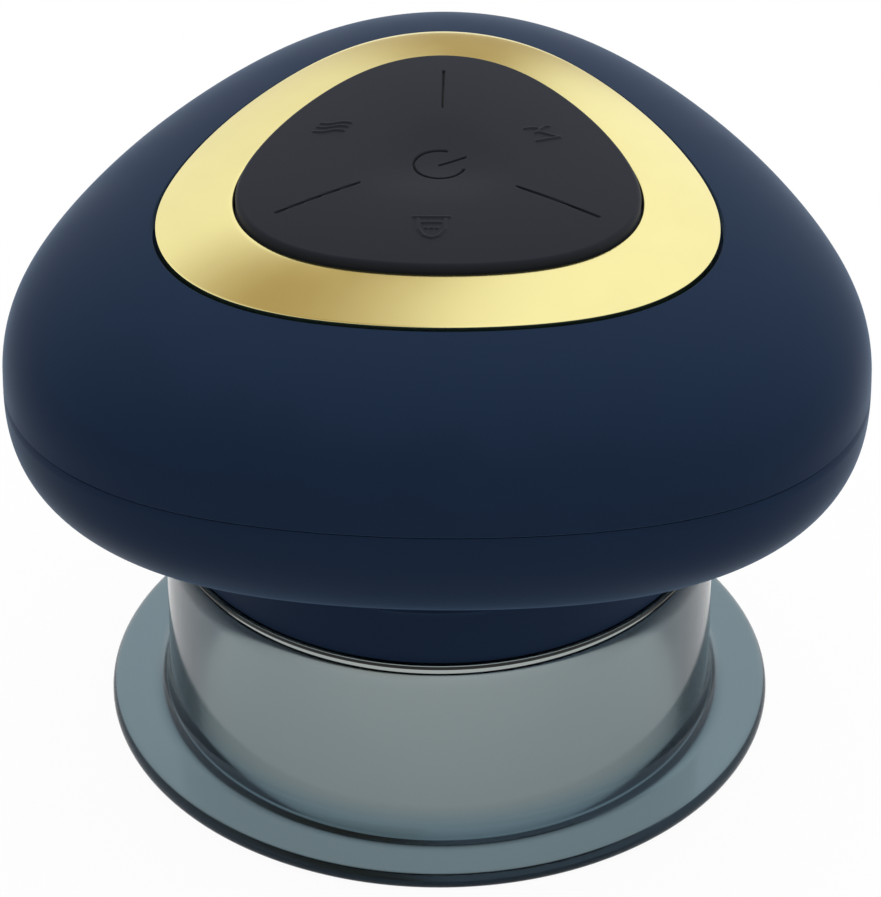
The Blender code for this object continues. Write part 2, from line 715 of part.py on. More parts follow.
def lower_shell():
    """The bowl and neck in one moulding: an outer solid, less a hollow that leaves the bosses standing."""
    top = EQUATOR - GAP / 2
    lip_outer = HEAD_RADIUS - WALL - 1.5 * GAP
    lip_inner = lip_outer - LIP_THICKNESS
    lip_top = EQUATOR + LIP_HEIGHT
    outer = [(0, lip_top), (lip_outer, lip_top), (lip_outer, top), (HEAD_RADIUS, top)]
    outer += bowl_points(HEAD_RADIUS, NECK_RADIUS, 9)[1:]
    outer += [(NECK_RADIUS, NECK_FOOT), (0, NECK_FOOT)]
    shell = lobed("lower_shell", outer, "navy_soft_touch", closed=False)
    blend = bowl_points(HEAD_RADIUS - WALL, NECK_INNER, 6, WALL)
    blend = [point for point in blend if point[1] < EQUATOR - LIP_BLEND]
    inner = [(0, lip_top + OVERRUN), (lip_inner, lip_top + OVERRUN)]
    inner += [(lip_inner, EQUATOR - LIP_BLEND / 2)] + blend
    inner += [(NECK_INNER, NECK_FOOT - OVERRUN), (0, NECK_FOOT - OVERRUN)]
    hollow = lobed("lower_hollow", inner, None, closed=False, twist=SEAM_TWIST)
    tops = post_places(POST_SPLIT - GAP)
    cut(hollow, *rods("lower_post", POST_RADIUS, post_places(NECK_FOOT), tops, SCREW_STEPS))
    boss_foot = BASE_FACE + BASE_SEAT + LED_BOARD_THICKNESS + 2 * GAP
    boss_top = CHASSIS_FOOT - GAP
    for i, place in enumerate(base_boss_places(boss_foot)):
        top_place = Vector((place.x, place.y, boss_top))
        cut(hollow, rod(f"base_boss_{i}", BASE_BOSS_RADIUS, place, top_place, None, SCREW_STEPS))
        cut(hollow, boss_web(i, BASE_BOSS_TURNS[i], boss_top))
    cut(hollow, *charge_posts())
    cut(shell, hollow)
    feet = post_places(NECK_FOOT)
    cut(shell, *rods("post_hole", SCREW_HOLE, feet, post_places(POST_SPLIT + OVERRUN), SCREW_STEPS))
    cut(shell, *rods("post_sink", SCREW_SINK, feet, post_places(SHELL_SCREW_SEAT), SCREW_STEPS))
    feet = base_boss_places(boss_foot - OVERRUN)
    cut(shell, *rods("base_pilot", SCREW_HOLE, feet, base_boss_places(boss_top + OVERRUN), SCREW_STEPS))
    fuse(shell, *stakes("charge", charge_post_places(0), SOCKET_BOARD_FOOT - WALL, SOCKET_BOARD_TOP))
    return cut(shell, socket_window())


def boss_web(index, turn, top):
    """The web that ties a base boss to the neck's wall, above the base plate's rim."""
    foot = BASE_FACE + BASE_HEIGHT + GAP
    length = NECK_INNER + WALL / 2 - BASE_BOSS_REACH
    centre = polar(BASE_BOSS_REACH + length / 2, turn, (foot + top) / 2)
    web = block(f"boss_web_{index}", (length, BASE_BOSS_RADIUS, top - foot), centre, None)
    web.rotation_euler.z = turn
    return web


SOCKET_Z = CUP_HEIGHT + SOCKET_LIFT
SOCKET_BOARD_TOP = SOCKET_Z - SOCKET_HEIGHT / 2 - GAP
SOCKET_BOARD_FOOT = SOCKET_BOARD_TOP - CHARGE_BOARD_THICKNESS


def back_reach(height):
    """How far the bowl reaches back at this height, on the back lobe."""
    drop = (EQUATOR - height) / BOWL_DROP
    share = (1 - drop**BOWL_POWER) ** (1 / BOWL_POWER)
    widest = HEAD_RADIUS * float(lobing(math.pi / 2))
    return (widest + BOWL_RUN_ON) * share - BOWL_RUN_ON


SOCKET_MOUTH = back_reach(SOCKET_Z) - SOCKET_RECESS
CHARGE_BOARD_FRONT = back_reach(SOCKET_BOARD_FOOT) - 2.5 * WALL - CHARGE_BOARD_DEPTH


def charge_post_places(height):
    y = CHARGE_BOARD_FRONT + CHARGE_POST_INSET
    return [Vector((side * CHARGE_POST_X, y, height)) for side in (-1, 1)]


def charge_posts():
    """The two posts under the charge board."""
    tops = charge_post_places(SOCKET_BOARD_FOOT - GAP)
    return rods("charge_post", CHARGE_POST_RADIUS, charge_post_places(NECK_FOOT), tops, SCREW_STEPS)


def socket_window():
    """The rounded slot in the back lobe that the charging plug goes through."""
    size = (SOCKET_WIDTH + 2 * GAP, WALL * 4, SOCKET_HEIGHT + 2 * GAP)
    window = block("socket_window", size, (0, SOCKET_MOUTH, SOCKET_Z), None)
    round_ends(window, SOCKET_ROUNDING + GAP)
    return window


def shell_screws():
    """Three screws, up through the bowl's posts into the top shell."""
    tips = post_places(SHELL_SCREW_SEAT + SHELL_SCREW_LENGTH)
    return screws("shell_screw", tips, post_places(SHELL_SCREW_SEAT - GAP))


def trim_ring():
    """The gold bezel: lobed like the head, its face a little proud of the dome and crowned."""
    radii = np.linspace(RING_INNER + RING_ROUNDING, RING_OUTER - RING_ROUNDING, 4)
    face = [(float(radius), ring_top(float(radius))) for radius in radii]
    outer_foot = ring_top(RING_OUTER) - RING_THICKNESS
    inner_foot = ring_top(RING_INNER) - RING_THICKNESS
    section = face + [
        (RING_OUTER, ring_top(RING_OUTER) - RING_ROUNDING),
        (RING_OUTER, outer_foot),
        (RING_INNER, inner_foot),
        (RING_INNER, ring_top(RING_INNER) - RING_ROUNDING),
    ]
    return lobed("trim_ring", section, "gold_plated")


# The keypad


def pad_solid(name):
    """The whole cushion of the keypad, dished at its centre, before it is parted into frame and keys."""
    crown = TRAY_TOP + PAD_CROWN
    shoulder = crown - PAD_SHOULDER / 2
    side = crown - PAD_SHOULDER
    dish = [(radius, crown - PAD_DISH * 0.5 * (1 + math.cos(math.pi * radius / PAD_DISH_RADIUS)))
            for radius in np.linspace(0, PAD_DISH_RADIUS, 4)]
    slope_end = PAD_RADIUS - PAD_ROUNDING
    slope_radii = np.linspace(PAD_DISH_RADIUS, slope_end, 4)[1:]
    slope_length = slope_end - PAD_DISH_RADIUS
    slope = [(radius, crown - (crown - shoulder) * ((radius - PAD_DISH_RADIUS) / slope_length) ** 2)
             for radius in slope_radii]
    edge = arc_points((slope_end, side), (PAD_ROUNDING, shoulder - side), 60, 0, 3)
    section = dish + slope + edge + [(PAD_RADIUS, PAD_FOOT), (0, PAD_FOOT)]
    section = [(float(radius), float(height)) for radius, height in section]
    return lobed(name, section, "charcoal_silicone", closed=False)


def sector_outline(middle, inset):
    """Outline of one of the three keys: between the power key's bead, two ribs and the rim."""
    inner = POWER_KEY_RADIUS + KEY_BEAD + 2 * GAP + inset
    outer = PAD_RADIUS - KEY_RIM - inset
    half_rib = KEY_RIB / 2 + inset
    points = []
    for radius, direction, lobes, count in ((outer, 1, True, 15), (inner, -1, False, 9)):
        reach = THIRD / 2 - math.asin(half_rib / radius)
        for offset in np.linspace(-reach, reach, count) * direction:
            turn = middle + float(offset)
            points.append(polar(radius * (float(lobing(turn)) if lobes else 1), turn, 0).to_2d())
    return points


def key_tool(name, key, inset, foot, top):
    """The prism that parts one key from the frame."""
    turns = {"heat": SPLIT_TURN + THIRD / 2, "scrape": SPLIT_TURN - THIRD / 2, "suction": -SPLIT_TURN}
    if key == "power":
        opening = disc(name, POWER_KEY_RADIUS + GAP - inset, foot, top, None)
        opening.rotation_euler.z = SEAM_TWIST
        return opening
    return prism(name, sector_outline(turns[key], inset), foot, top, None)


def keypad_frame():
    """The rim, ribs and bead that are left of the cushion round its four keys."""
    frame = pad_solid("keypad_frame")
    for key in ("power", "heat", "scrape", "suction"):
        cut(frame, key_tool(f"{key}_opening", key, 0, PAD_FOOT - OVERRUN, TRAY_TOP + PAD_CROWN + OVERRUN))
    return frame


def key(name):
    """One key: its share of the cushion, with a stem through the tray down to its switch."""
    piece = pad_solid(f"{name}_key")
    keep(piece, key_tool(f"{name}_limit", name, GAP, KEY_FOOT, TRAY_TOP + PAD_CROWN + OVERRUN))
    place = key_places(STEM_FOOT)[name]
    root = Vector((place.x, place.y, KEY_FOOT + WALL / 2))
    return fuse(piece, rod(f"{name}_stem", STEM_RADIUS, place, root, None))


def switch_button(name):
    place = key_places(BUTTON_TOP)[name]
    foot = place - Vector((0, 0, BUTTON_HEIGHT))
    return rod(f"{name}_switch_button", BUTTON_RADIUS, foot, place, "black_abs")


def main_board():
    """The board under the keypad, lobed like it, with its switch bodies on top and its chips below."""
    section = [(0, BOARD_TOP), (BOARD_RADIUS, BOARD_TOP), (BOARD_RADIUS, BOARD_FOOT), (0, BOARD_FOOT)]
    board = lobed("main_board", section, "green_board", closed=False)
    middle = (BOARD_TOP + BOARD_FOOT) / 2
    housing = (SWITCH_SIZE, SWITCH_SIZE, SWITCH_TOP - middle)
    chip = (CHIP_SIZE, CHIP_SIZE, middle - BOARD_FOOT + CHIP_HEIGHT)
    for name, place in key_places(0).items():
        lift = Vector((0, 0, (SWITCH_TOP + middle) / 2))
        fuse(board, block(f"{name}_housing", housing, place + lift, None))
    for name, place in key_places(0).items():
        well = [place + Vector((0, 0, height)) for height in (WELL_FOOT, SWITCH_TOP + OVERRUN)]
        cut(board, rod(f"{name}_well", BUTTON_RADIUS + GAP, *well, None))
    for i in range(3):
        centre = ((i - 1) * CHIP_PITCH, 0, middle - chip[2] / 2)
        fuse(board, block(f"chip_{i}", chip, centre, None))
    feet, tops = board_boss_places(BOARD_FOOT - OVERRUN), board_boss_places(BOARD_TOP + OVERRUN)
    return cut(board, *rods("board_hole", SCREW_HOLE, feet, tops, SCREW_STEPS))


# The cup and the base above it


def cup():
    """The clear cup: beaded rim, straight wall, flared foot and a flat flange with a rounded edge."""
    flange = CUP_RADIUS + FLANGE_WIDTH
    rim = CUP_RADIUS + CUP_BEAD
    rim_corner = (rim - CUP_ROUNDING, CUP_HEIGHT - CUP_ROUNDING)
    flare_centre = (CUP_RADIUS + FOOT_FLARE, FLANGE_THICKNESS + FOOT_RISE)
    edge = FLANGE_THICKNESS / 2
    section = arc_points(rim_corner, (CUP_ROUNDING, CUP_ROUNDING), 90, 0, 3)
    section += [(rim, CUP_HEIGHT - CUP_BEAD_HEIGHT), (CUP_RADIUS, CUP_HEIGHT - CUP_BEAD_HEIGHT - CUP_BEAD)]
    section += arc_points(flare_centre, (FOOT_FLARE, FOOT_RISE), 180, 270, 4)
    section += arc_points((flange - edge, edge), (edge, edge), 90, -90, 5)
    section += [(CUP_INNER + CUP_ROUNDING, 0), (CUP_INNER, CUP_ROUNDING)]
    section += [(CUP_INNER, CUP_HEIGHT - CUP_ROUNDING), (CUP_INNER + CUP_ROUNDING, CUP_HEIGHT)]
    return turned("cup", section, "smoke_polycarbonate", steps=CUP_STEPS)


def cup_seal():
    """The soft ring in the base plate's groove that the cup is pushed over."""
    foot = BASE_FACE + SEAL_GROOVE_RISE + GAP
    outer = BASE_RADIUS + SEAL_PROUD
    inner = BASE_RADIUS - SEAL_GROOVE_DEPTH + GAP
    middle = foot + SEAL_HEIGHT / 2
    section = [(outer - GAP, foot + SEAL_HEIGHT), (outer, middle), (outer - GAP, foot), (inner, foot)]
    section += [(inner, foot + SEAL_HEIGHT)]
    return turned("cup_seal", section, "black_silicone", steps=CUP_STEPS)


def base_plate():
    """The plug in the neck: seal groove outside, light window inside, screw holes and the suction port."""
    groove_foot = BASE_FACE + SEAL_GROOVE_RISE
    groove_top = groove_foot + SEAL_HEIGHT + 2 * GAP
    groove = BASE_RADIUS - SEAL_GROOVE_DEPTH
    top = BASE_FACE + BASE_HEIGHT
    seat = BASE_FACE + BASE_SEAT
    floor = BASE_FACE + BASE_FLOOR
    rim = BASE_RADIUS - BASE_RIM
    step = BASE_RADIUS - BASE_SEAT_WIDTH
    window = LIGHT_RING_OUTER + GAP
    section = [
        (BASE_RADIUS, top),
        (BASE_RADIUS, groove_top),
        (groove, groove_top),
        (groove, groove_foot),
        (BASE_RADIUS, groove_foot),
        (BASE_RADIUS, BASE_FACE),
        (window, BASE_FACE),
        (window, floor),
        (step, floor),
        (step, seat),
        (rim, seat),
        (rim, top),
    ]
    plate = turned("base_plate", section, "black_abs", steps=CUP_STEPS)
    heights = (BASE_FACE - OVERRUN, floor - GAP, top - GAP, BASE_FACE + PORT_HEIGHT, CHASSIS_FOOT)
    below_port, root, shoulder, tip, above_port = (polar(PORT_REACH, PORT_TURN, height) for height in heights)
    fuse(plate, rod("port_root", PORT_RADIUS, root, shoulder, None))
    fuse(plate, rod("port_tip", NOZZLE_RADIUS, root, tip, None))
    cut(plate, rod("port_bore", NOZZLE_BORE, below_port, above_port, None, SCREW_STEPS))
    pocket_top = polar(PORT_REACH, PORT_TURN, BASE_FACE + FILTER_THICKNESS + GAP)
    cut(plate, rod("filter_pocket", FILTER_RADIUS + GAP, below_port, pocket_top, None))
    below, above = base_boss_places(BASE_FACE - OVERRUN), base_boss_places(top + OVERRUN)
    cut(plate, *rods("base_hole", SCREW_HOLE, below, above, SCREW_STEPS))
    sinks = base_boss_places(BASE_FACE + SCREW_HEAD_HEIGHT + GAP)
    return cut(plate, *rods("base_sink", SCREW_SINK, below, sinks, SCREW_STEPS))


def base_screws():
    """Three long screws, up through base plate, light board and shell into the chassis."""
    tips = base_boss_places(CHASSIS_TOP - GAP)
    return screws("base_screw", tips, base_boss_places(BASE_FACE + SCREW_HEAD_HEIGHT))


def port_filter():
    """The mesh disc that keeps skin oil out of the suction port, with three slits."""
    foot = polar(PORT_REACH, PORT_TURN, BASE_FACE)
    top = polar(PORT_REACH, PORT_TURN, BASE_FACE + FILTER_THICKNESS)
    mesh = rod("port_filter", FILTER_RADIUS, foot, top, "steel")
    pitch = FILTER_RADIUS / 2
    size = (pitch / 2, FILTER_RADIUS, OVERRUN)
    slits = [block(f"filter_slit_{i}", size, foot + Vector(((i - 1) * pitch, 0, 0)), None) for i in range(3)]
    return cut(mesh, *slits)


def light_ring():
    """The frosted ring that spreads the red light round the heater plate, with a lip on the base plate."""
    floor = BASE_FACE + BASE_FLOOR
    lip = floor + GAP
    lip_top = lip + LIGHT_RING_LIP_HEIGHT
    bore = LIGHT_RING_INNER
    ledge = bore + HEATER_LIP
    section = [
        (LIGHT_RING_OUTER + LIGHT_RING_LIP, lip_top),
        (LIGHT_RING_OUTER + LIGHT_RING_LIP, lip),
        (LIGHT_RING_OUTER, lip),
        (LIGHT_RING_OUTER, BASE_FACE),
        (bore, BASE_FACE),
        (bore, floor - GAP),
        (ledge, floor - GAP),
        (ledge, lip_top),
    ]
    return turned("light_ring", section, "white_diffuser")


def heater_plate():
    """The metal disc that warms the skin's air, hung by its lip in the light ring."""
    radius = LIGHT_RING_INNER - GAP
    lip = radius + HEATER_LIP
    seat = BASE_FACE + BASE_FLOOR
    section = [(0, seat + HEATER_THICKNESS / 2), (lip, seat + HEATER_THICKNESS / 2), (lip, seat)]
    section += [(radius, seat), (radius, BASE_FACE + GAP), (radius - GAP, BASE_FACE), (0, BASE_FACE)]
    return turned("heater_plate", section, "aluminium", closed=False)


def heater_film():
    foot = BASE_FACE + BASE_FLOOR + HEATER_THICKNESS / 2 + GAP
    return disc("heater_film", LIGHT_RING_INNER - FILM_INSET, foot, foot + FILM_THICKNESS, "heater_film")


def temperature_sensor():
    """The bead that reads the heater's temperature, on the film."""
    foot = BASE_FACE + BASE_FLOOR + HEATER_THICKNESS / 2 + FILM_THICKNESS + 2 * GAP
    top = foot + SENSOR_RADIUS
    x = LIGHT_RING_INNER / 2
    return rod("temperature_sensor", SENSOR_RADIUS, (-x, 0, foot), (-x, 0, top), "black_abs")


def led_board():
    """The ring board over the light ring: red lamps below, a notch for the port, and screw holes."""
    foot = BASE_FACE + BASE_SEAT + GAP
    top = foot + LED_BOARD_THICKNESS
    outer = BASE_RADIUS - BASE_RIM - 1.4 * GAP
    board = disc("led_board", outer, foot, top, "green_board", bore=LED_BOARD_INNER)
    reach = (LIGHT_RING_OUTER + LIGHT_RING_INNER) / 2
    height = LED_HEIGHT + LED_BOARD_THICKNESS / 2
    for i in range(LED_COUNT):
        turn = 2 * math.pi * i / LED_COUNT
        centre = polar(reach, turn, foot - LED_HEIGHT + height / 2)
        lamp = block(f"lamp_{i}", (LED_SIZE, LED_SIZE, height), centre, None)
        lamp.rotation_euler.z = turn + SEAM_TWIST
        fuse(board, lamp)
    below, above = base_boss_places(foot - OVERRUN), base_boss_places(top + OVERRUN)
    cut(board, *rods("led_board_hole", SCREW_HOLE, below, above, SCREW_STEPS))
    ends = [polar(PORT_REACH, PORT_TURN, height) for height in (foot - OVERRUN, top + OVERRUN)]
    return cut(board, rod("port_notch", PORT_RADIUS + GAP, *ends, None))


# The chassis and what it carries


def chassis():
    """The plate over the neck: window and cradle for the pump, stops for cell and valve."""
    radius = bowl_radius(CHASSIS_FOOT, WALL) - CHASSIS_CLEAR
    section = [(0, CHASSIS_TOP), (radius, CHASSIS_TOP), (radius, CHASSIS_FOOT), (0, CHASSIS_FOOT)]
    plate = lobed("chassis", section, "grey_abs", closed=False)
    middle = (CHASSIS_FOOT + CHASSIS_TOP) / 2
    ends = (MOTOR_BACK - WALL, PUMP_FRONT + WALL)
    size = (ends[1] - ends[0], 2 * BED_RADIUS - CRADLE_FLANK, 2 * OVERRUN)
    cut(plate, block("pump_window", size, (sum(ends) / 2, PUMP_Y, middle), None))
    cradle_height = PUMP_Z - CHASSIS_FOOT - GAP
    cradle = (CRADLE_THICKNESS, 2 * (BED_RADIUS + CRADLE_FLANK), cradle_height)
    for i, x in enumerate(CRADLE_PLACES):
        centre = (x, PUMP_Y, CHASSIS_FOOT + GAP + cradle_height / 2)
        fuse(plate, block(f"cradle_{i}", cradle, centre, None))
    cut(plate, rod("pump_bed", BED_RADIUS, *[on_pump(x) for x in ends], None, ROUND_STEPS))
    fuse(plate, cell_rail())
    cell_stop = (STOP_THICKNESS, CELL_DEPTH, STOP_HEIGHT)
    valve_stop = (STOP_THICKNESS, RELEASE_SIDE / 2, RELEASE_STOP_HEIGHT)
    for side in (-1, 1):
        x = side * (CELL_LENGTH / 2 + GAP + STOP_THICKNESS / 2)
        centre = (x, CELL_Y, CHASSIS_TOP + STOP_HEIGHT / 2 - GAP)
        fuse(plate, block(f"cell_stop_{side + 1}", cell_stop, centre, None))
        x = RELEASE_X + side * (RELEASE_LENGTH / 2 + GAP + STOP_THICKNESS / 2)
        centre = (x, RELEASE_Y, CHASSIS_TOP + RELEASE_STOP_HEIGHT / 2 - GAP)
        fuse(plate, block(f"valve_stop_{side + 1}", valve_stop, centre, None))
    below, above = base_boss_places(CHASSIS_FOOT - OVERRUN), base_boss_places(CHASSIS_TOP + OVERRUN)
    cut(plate, *rods("chassis_hole", SCREW_HOLE, below, above, SCREW_STEPS))
    heights = (CHASSIS_FOOT - OVERRUN, CHASSIS_TOP + OVERRUN)
    cut(plate, rod("hose_hole", HOSE_RADIUS + GAP, *[polar(PORT_REACH, PORT_TURN, z) for z in heights], None))
    return cut(plate, charge_notch())


def cell_rail():
    """The rail within the plate that carries the cell's two stops, also where they stand beyond its edge."""
    foot, top = CHASSIS_FOOT + GAP, CHASSIS_TOP - GAP / 2
    size = (CELL_LENGTH + 2 * GAP + STOP_THICKNESS, CELL_DEPTH / 4, top - foot)
    return block("cell_rail", size, (0, CELL_Y + CELL_DEPTH / 3, (foot + top) / 2), None)


def charge_notch():
    """The notch in the chassis that clears the charge board's two posts."""
    clear = CHARGE_POST_RADIUS + 2 * GAP
    front = CHARGE_BOARD_FRONT + CHARGE_POST_INSET - clear
    width = 2 * (CHARGE_POST_X + clear)
    centre = (0, front + CHARGE_BOARD_DEPTH / 2, (CHASSIS_FOOT + CHASSIS_TOP) / 2)
    return block("charge_notch", (width, CHARGE_BOARD_DEPTH, 2 * OVERRUN), centre, None)


def battery():
    """The pouch cell on its edge, at the front of the chassis."""
    size = (CELL_LENGTH, CELL_DEPTH, CELL_HEIGHT)
    centre = (0, CELL_Y, CHASSIS_TOP + GAP + CELL_HEIGHT / 2)
    return block("battery", size, centre, "cell_wrap", CELL_ROUNDING)


def battery_pad():
    """The foam strip on the cell's back."""
    y = CELL_Y + CELL_DEPTH / 2 + GAP + FOAM_THICKNESS / 2
    centre = (0, y, CHASSIS_TOP + GAP + CELL_HEIGHT / 2)
    return block("battery_pad", (FOAM_WIDTH, FOAM_THICKNESS, CELL_HEIGHT / 2), centre, "foam")


def on_pump(x):
    return Vector((x, PUMP_Y, PUMP_Z))


def pump_turned(name, section, look_name, x, steps=ROUND_STEPS, closed=True):
    """A piece turned round the pump's shaft: heights along +X from x."""
    return turned(name, section, look_name, on_pump(x), (1, 0, 0), steps, closed)


BED_RADIUS = MOTOR_RADIUS + SLEEVE_THICKNESS + 2 * GAP
HOUSING_BACK = MOTOR_BACK + MOTOR_LENGTH + GAP
HOUSING_FRONT = HOUSING_BACK + PUMP_HOUSING_LENGTH
DIAPHRAGM_BACK = HOUSING_FRONT + GAP
VALVE_PLATE_BACK = DIAPHRAGM_BACK + DIAPHRAGM_THICKNESS + GAP
HEAD_BACK = VALVE_PLATE_BACK + VALVE_PLATE_THICKNESS + GAP
PUMP_FRONT = HEAD_BACK + PUMP_HEAD_THICKNESS
ECCENTRIC_BACK = HOUSING_BACK + WALL
CRANK_BACK = ECCENTRIC_BACK + ECCENTRIC_LENGTH


def motor_can():
    """The drawn steel can: open at the back, with the shaft's hole in its face."""
    inner = MOTOR_RADIUS - MOTOR_WALL
    hole = SHAFT_RADIUS + GAP
    face = MOTOR_LENGTH - MOTOR_WALL
    section = [(MOTOR_RADIUS, MOTOR_LENGTH), (MOTOR_RADIUS, 0), (inner, 0), (inner, face)]
    section += [(hole, face), (hole, MOTOR_LENGTH)]
    return pump_turned("motor_can", section, "steel", MOTOR_BACK)


def motor_end_cap():
    """The plastic cap that closes the can and holds the shaft's rear end."""
    radius = MOTOR_RADIUS - MOTOR_WALL - GAP
    hole = SHAFT_RADIUS + GAP
    section = [(radius, END_CAP_THICKNESS), (radius, 0), (hole, 0), (hole, END_CAP_THICKNESS)]
    return pump_turned("motor_end_cap", section, "black_abs", MOTOR_BACK)


def motor_magnet():
    """The sprung ring magnet against the can's wall, split along its underside."""
    outer = MOTOR_RADIUS - MOTOR_WALL - GAP
    inner = outer - MAGNET_THICKNESS
    back = MOTOR_BACK + MAGNET_CLEAR
    length = MOTOR_LENGTH - MAGNET_CLEAR - MOTOR_WALL - 2 * GAP
    section = [(outer, length), (outer, 0), (inner, 0), (inner, length)]
    magnet = pump_turned("motor_magnet", section, "ferrite", back)
    split = on_pump(back + length / 2) - Vector((0, 0, MOTOR_RADIUS))
    return cut(magnet, block("magnet_split", (length + OVERRUN, OVERRUN, MOTOR_RADIUS), split, None))


def motor_armature():
    """The rotor's iron: three poles, left by three round slots with narrow mouths."""
    back = MOTOR_BACK + MAGNET_CLEAR + GAP
    length = MOTOR_LENGTH - MAGNET_CLEAR - MOTOR_WALL - 4 * GAP
    bore = SHAFT_RADIUS + GAP
    section = [(ARMATURE_RADIUS, length), (ARMATURE_RADIUS, 0), (bore, 0), (bore, length)]
    iron = pump_turned("motor_armature", section, "steel", back)
    for i in range(3):
        turn = SPLIT_TURN + i * THIRD
        away = Vector((0, math.cos(turn), math.sin(turn)))
        centre = on_pump(back - OVERRUN) + away * ARMATURE_SLOT_REACH
        end = centre + Vector((length + 2 * OVERRUN, 0, 0))
        cut(iron, rod(f"slot_{i}", ARMATURE_SLOT, centre, end, None, TUBE_STEPS))
        mouth = block(f"slot_mouth_{i}", (length + 2 * OVERRUN, ARMATURE_RADIUS, SLOT_MOUTH), (0, 0, 0), None)
        mouth.rotation_euler.x = turn
        mouth.location = on_pump(back + length / 2) + away * (ARMATURE_SLOT_REACH + ARMATURE_RADIUS / 2)
        cut(iron, mouth)
    return iron


def motor_commutator():
    """The copper drum that the brushes ride on, split in three."""
    bore = SHAFT_RADIUS + GAP
    back = MOTOR_BACK + MAGNET_CLEAR - COMMUTATOR_LENGTH
    section = [(COMMUTATOR_RADIUS, COMMUTATOR_LENGTH), (COMMUTATOR_RADIUS, 0)]
    section += [(bore, 0), (bore, COMMUTATOR_LENGTH)]
    return pump_turned("motor_commutator", section, "copper", back, steps=SMALL_STEPS)


def motor_shaft():
    front = ECCENTRIC_BACK + ECCENTRIC_LENGTH / 2
    return rod("motor_shaft", SHAFT_RADIUS, on_pump(MOTOR_BACK + GAP), on_pump(front), "steel")


def pump_eccentric():
    """The crank disc on the shaft's end, with its offset pin."""
    crank = rod("pump_eccentric", ECCENTRIC_RADIUS, on_pump(ECCENTRIC_BACK), on_pump(CRANK_BACK), "brass")
    offset = Vector((0, 0, CRANK_OFFSET))
    pin_ends = [on_pump(x) + offset for x in (CRANK_BACK - ECCENTRIC_LENGTH / 2, CRANK_BACK + CRANK_LENGTH)]
    fuse(crank, rod("crank_pin", CRANK_RADIUS, *pin_ends, None))
    hole_ends = [on_pump(x) for x in (ECCENTRIC_BACK - OVERRUN, ECCENTRIC_BACK + ECCENTRIC_LENGTH / 2 + GAP)]
    return cut(crank, rod("shaft_socket", SHAFT_RADIUS + GAP, *hole_ends, None))


def pump_slab(name, back, thickness, look_name, bore=0):
    """A rounded square slab of the pump, across its shaft, with a hole at two corners for its screws."""
    slab = block(name, (thickness, PUMP_SIDE, PUMP_SIDE), on_pump(back + thickness / 2), look_name)
    round_ends(slab, PUMP_CORNER, axis=0)
    starts, ends = pump_screw_places(back - OVERRUN), pump_screw_places(back + thickness + OVERRUN)
    cut(slab, *rods(f"{name}_hole", SCREW_HOLE, starts, ends, SCREW_STEPS))
    if bore:
        ends = [on_pump(x) for x in (back - OVERRUN, back + thickness + OVERRUN)]
        cut(slab, rod(f"{name}_bore", bore, *ends, None))
    return slab


def pump_screw_places(x):
    """Two opposite corners of the pump's slabs."""
    corner = Vector((0, PUMP_SCREW_REACH, PUMP_SCREW_REACH))
    return [on_pump(x) - corner, on_pump(x) + corner]


def pump_housing():
    """The housing between motor and diaphragm: a rear wall with the shaft's hole, and the crank's chamber."""
    bore = SHAFT_RADIUS + 2 * GAP
    housing = pump_slab("pump_housing", HOUSING_BACK, PUMP_HOUSING_LENGTH, "black_abs", bore)
    chamber = [on_pump(x) for x in (ECCENTRIC_BACK - 2 * GAP, HOUSING_FRONT + OVERRUN)]
    return cut(housing, rod("crank_chamber", PUMP_CHAMBER, *chamber, None, 2 * TUBE_STEPS))


def pump_rocker():
    """The wobbling carrier that the crank drives: a rim round the pin's path, with three arms."""
    back = CRANK_BACK + 2 * GAP
    inner = CRANK_OFFSET + CRANK_RADIUS + 2 * GAP
    section = [(ROCKER_RADIUS, ROCKER_THICKNESS), (ROCKER_RADIUS, 0), (inner, 0), (inner, ROCKER_THICKNESS)]
    rocker = pump_turned("pump_rocker", section, "grey_abs", back)
    for i in range(3):
        turn = -SPLIT_TURN + i * THIRD
        away = Vector((0, math.cos(turn), math.sin(turn))) * (ROCKER_RADIUS + inner) * ROCKER_HOLE_SHARE
        start = on_pump(back - OVERRUN) + away
        end = start + Vector((3 * OVERRUN, 0, 0))
        cut(rocker, rod(f"rocker_gap_{i}", inner / 2, start, end, None))
    return rocker


def pump_diaphragm():
    return pump_slab("pump_diaphragm", DIAPHRAGM_BACK, DIAPHRAGM_THICKNESS, "black_silicone")


def pump_valve_plate():
    """The plate with the inlet and outlet valve seats, as three ports round a middle one."""
    size = (VALVE_PLATE_BACK, VALVE_PLATE_THICKNESS)
    plate = pump_slab("pump_valve_plate", *size, "grey_abs", NOZZLE_RADIUS)
    for i in range(3):
        turn = SPLIT_TURN + i * THIRD
        away = Vector((0, math.cos(turn), math.sin(turn))) * NOZZLE_OFFSET
        ends = [on_pump(x) + away for x in (VALVE_PLATE_BACK - OVERRUN, HEAD_BACK + OVERRUN)]
        cut(plate, rod(f"valve_seat_{i}", NOZZLE_RADIUS, *ends, None))
    return plate


def nozzle_places(x):
    """The inlet nozzle above the shaft and the outlet below it."""
    return [on_pump(x) + Vector((0, -NOZZLE_OFFSET, side * NOZZLE_OFFSET)) for side in (1, -1)]


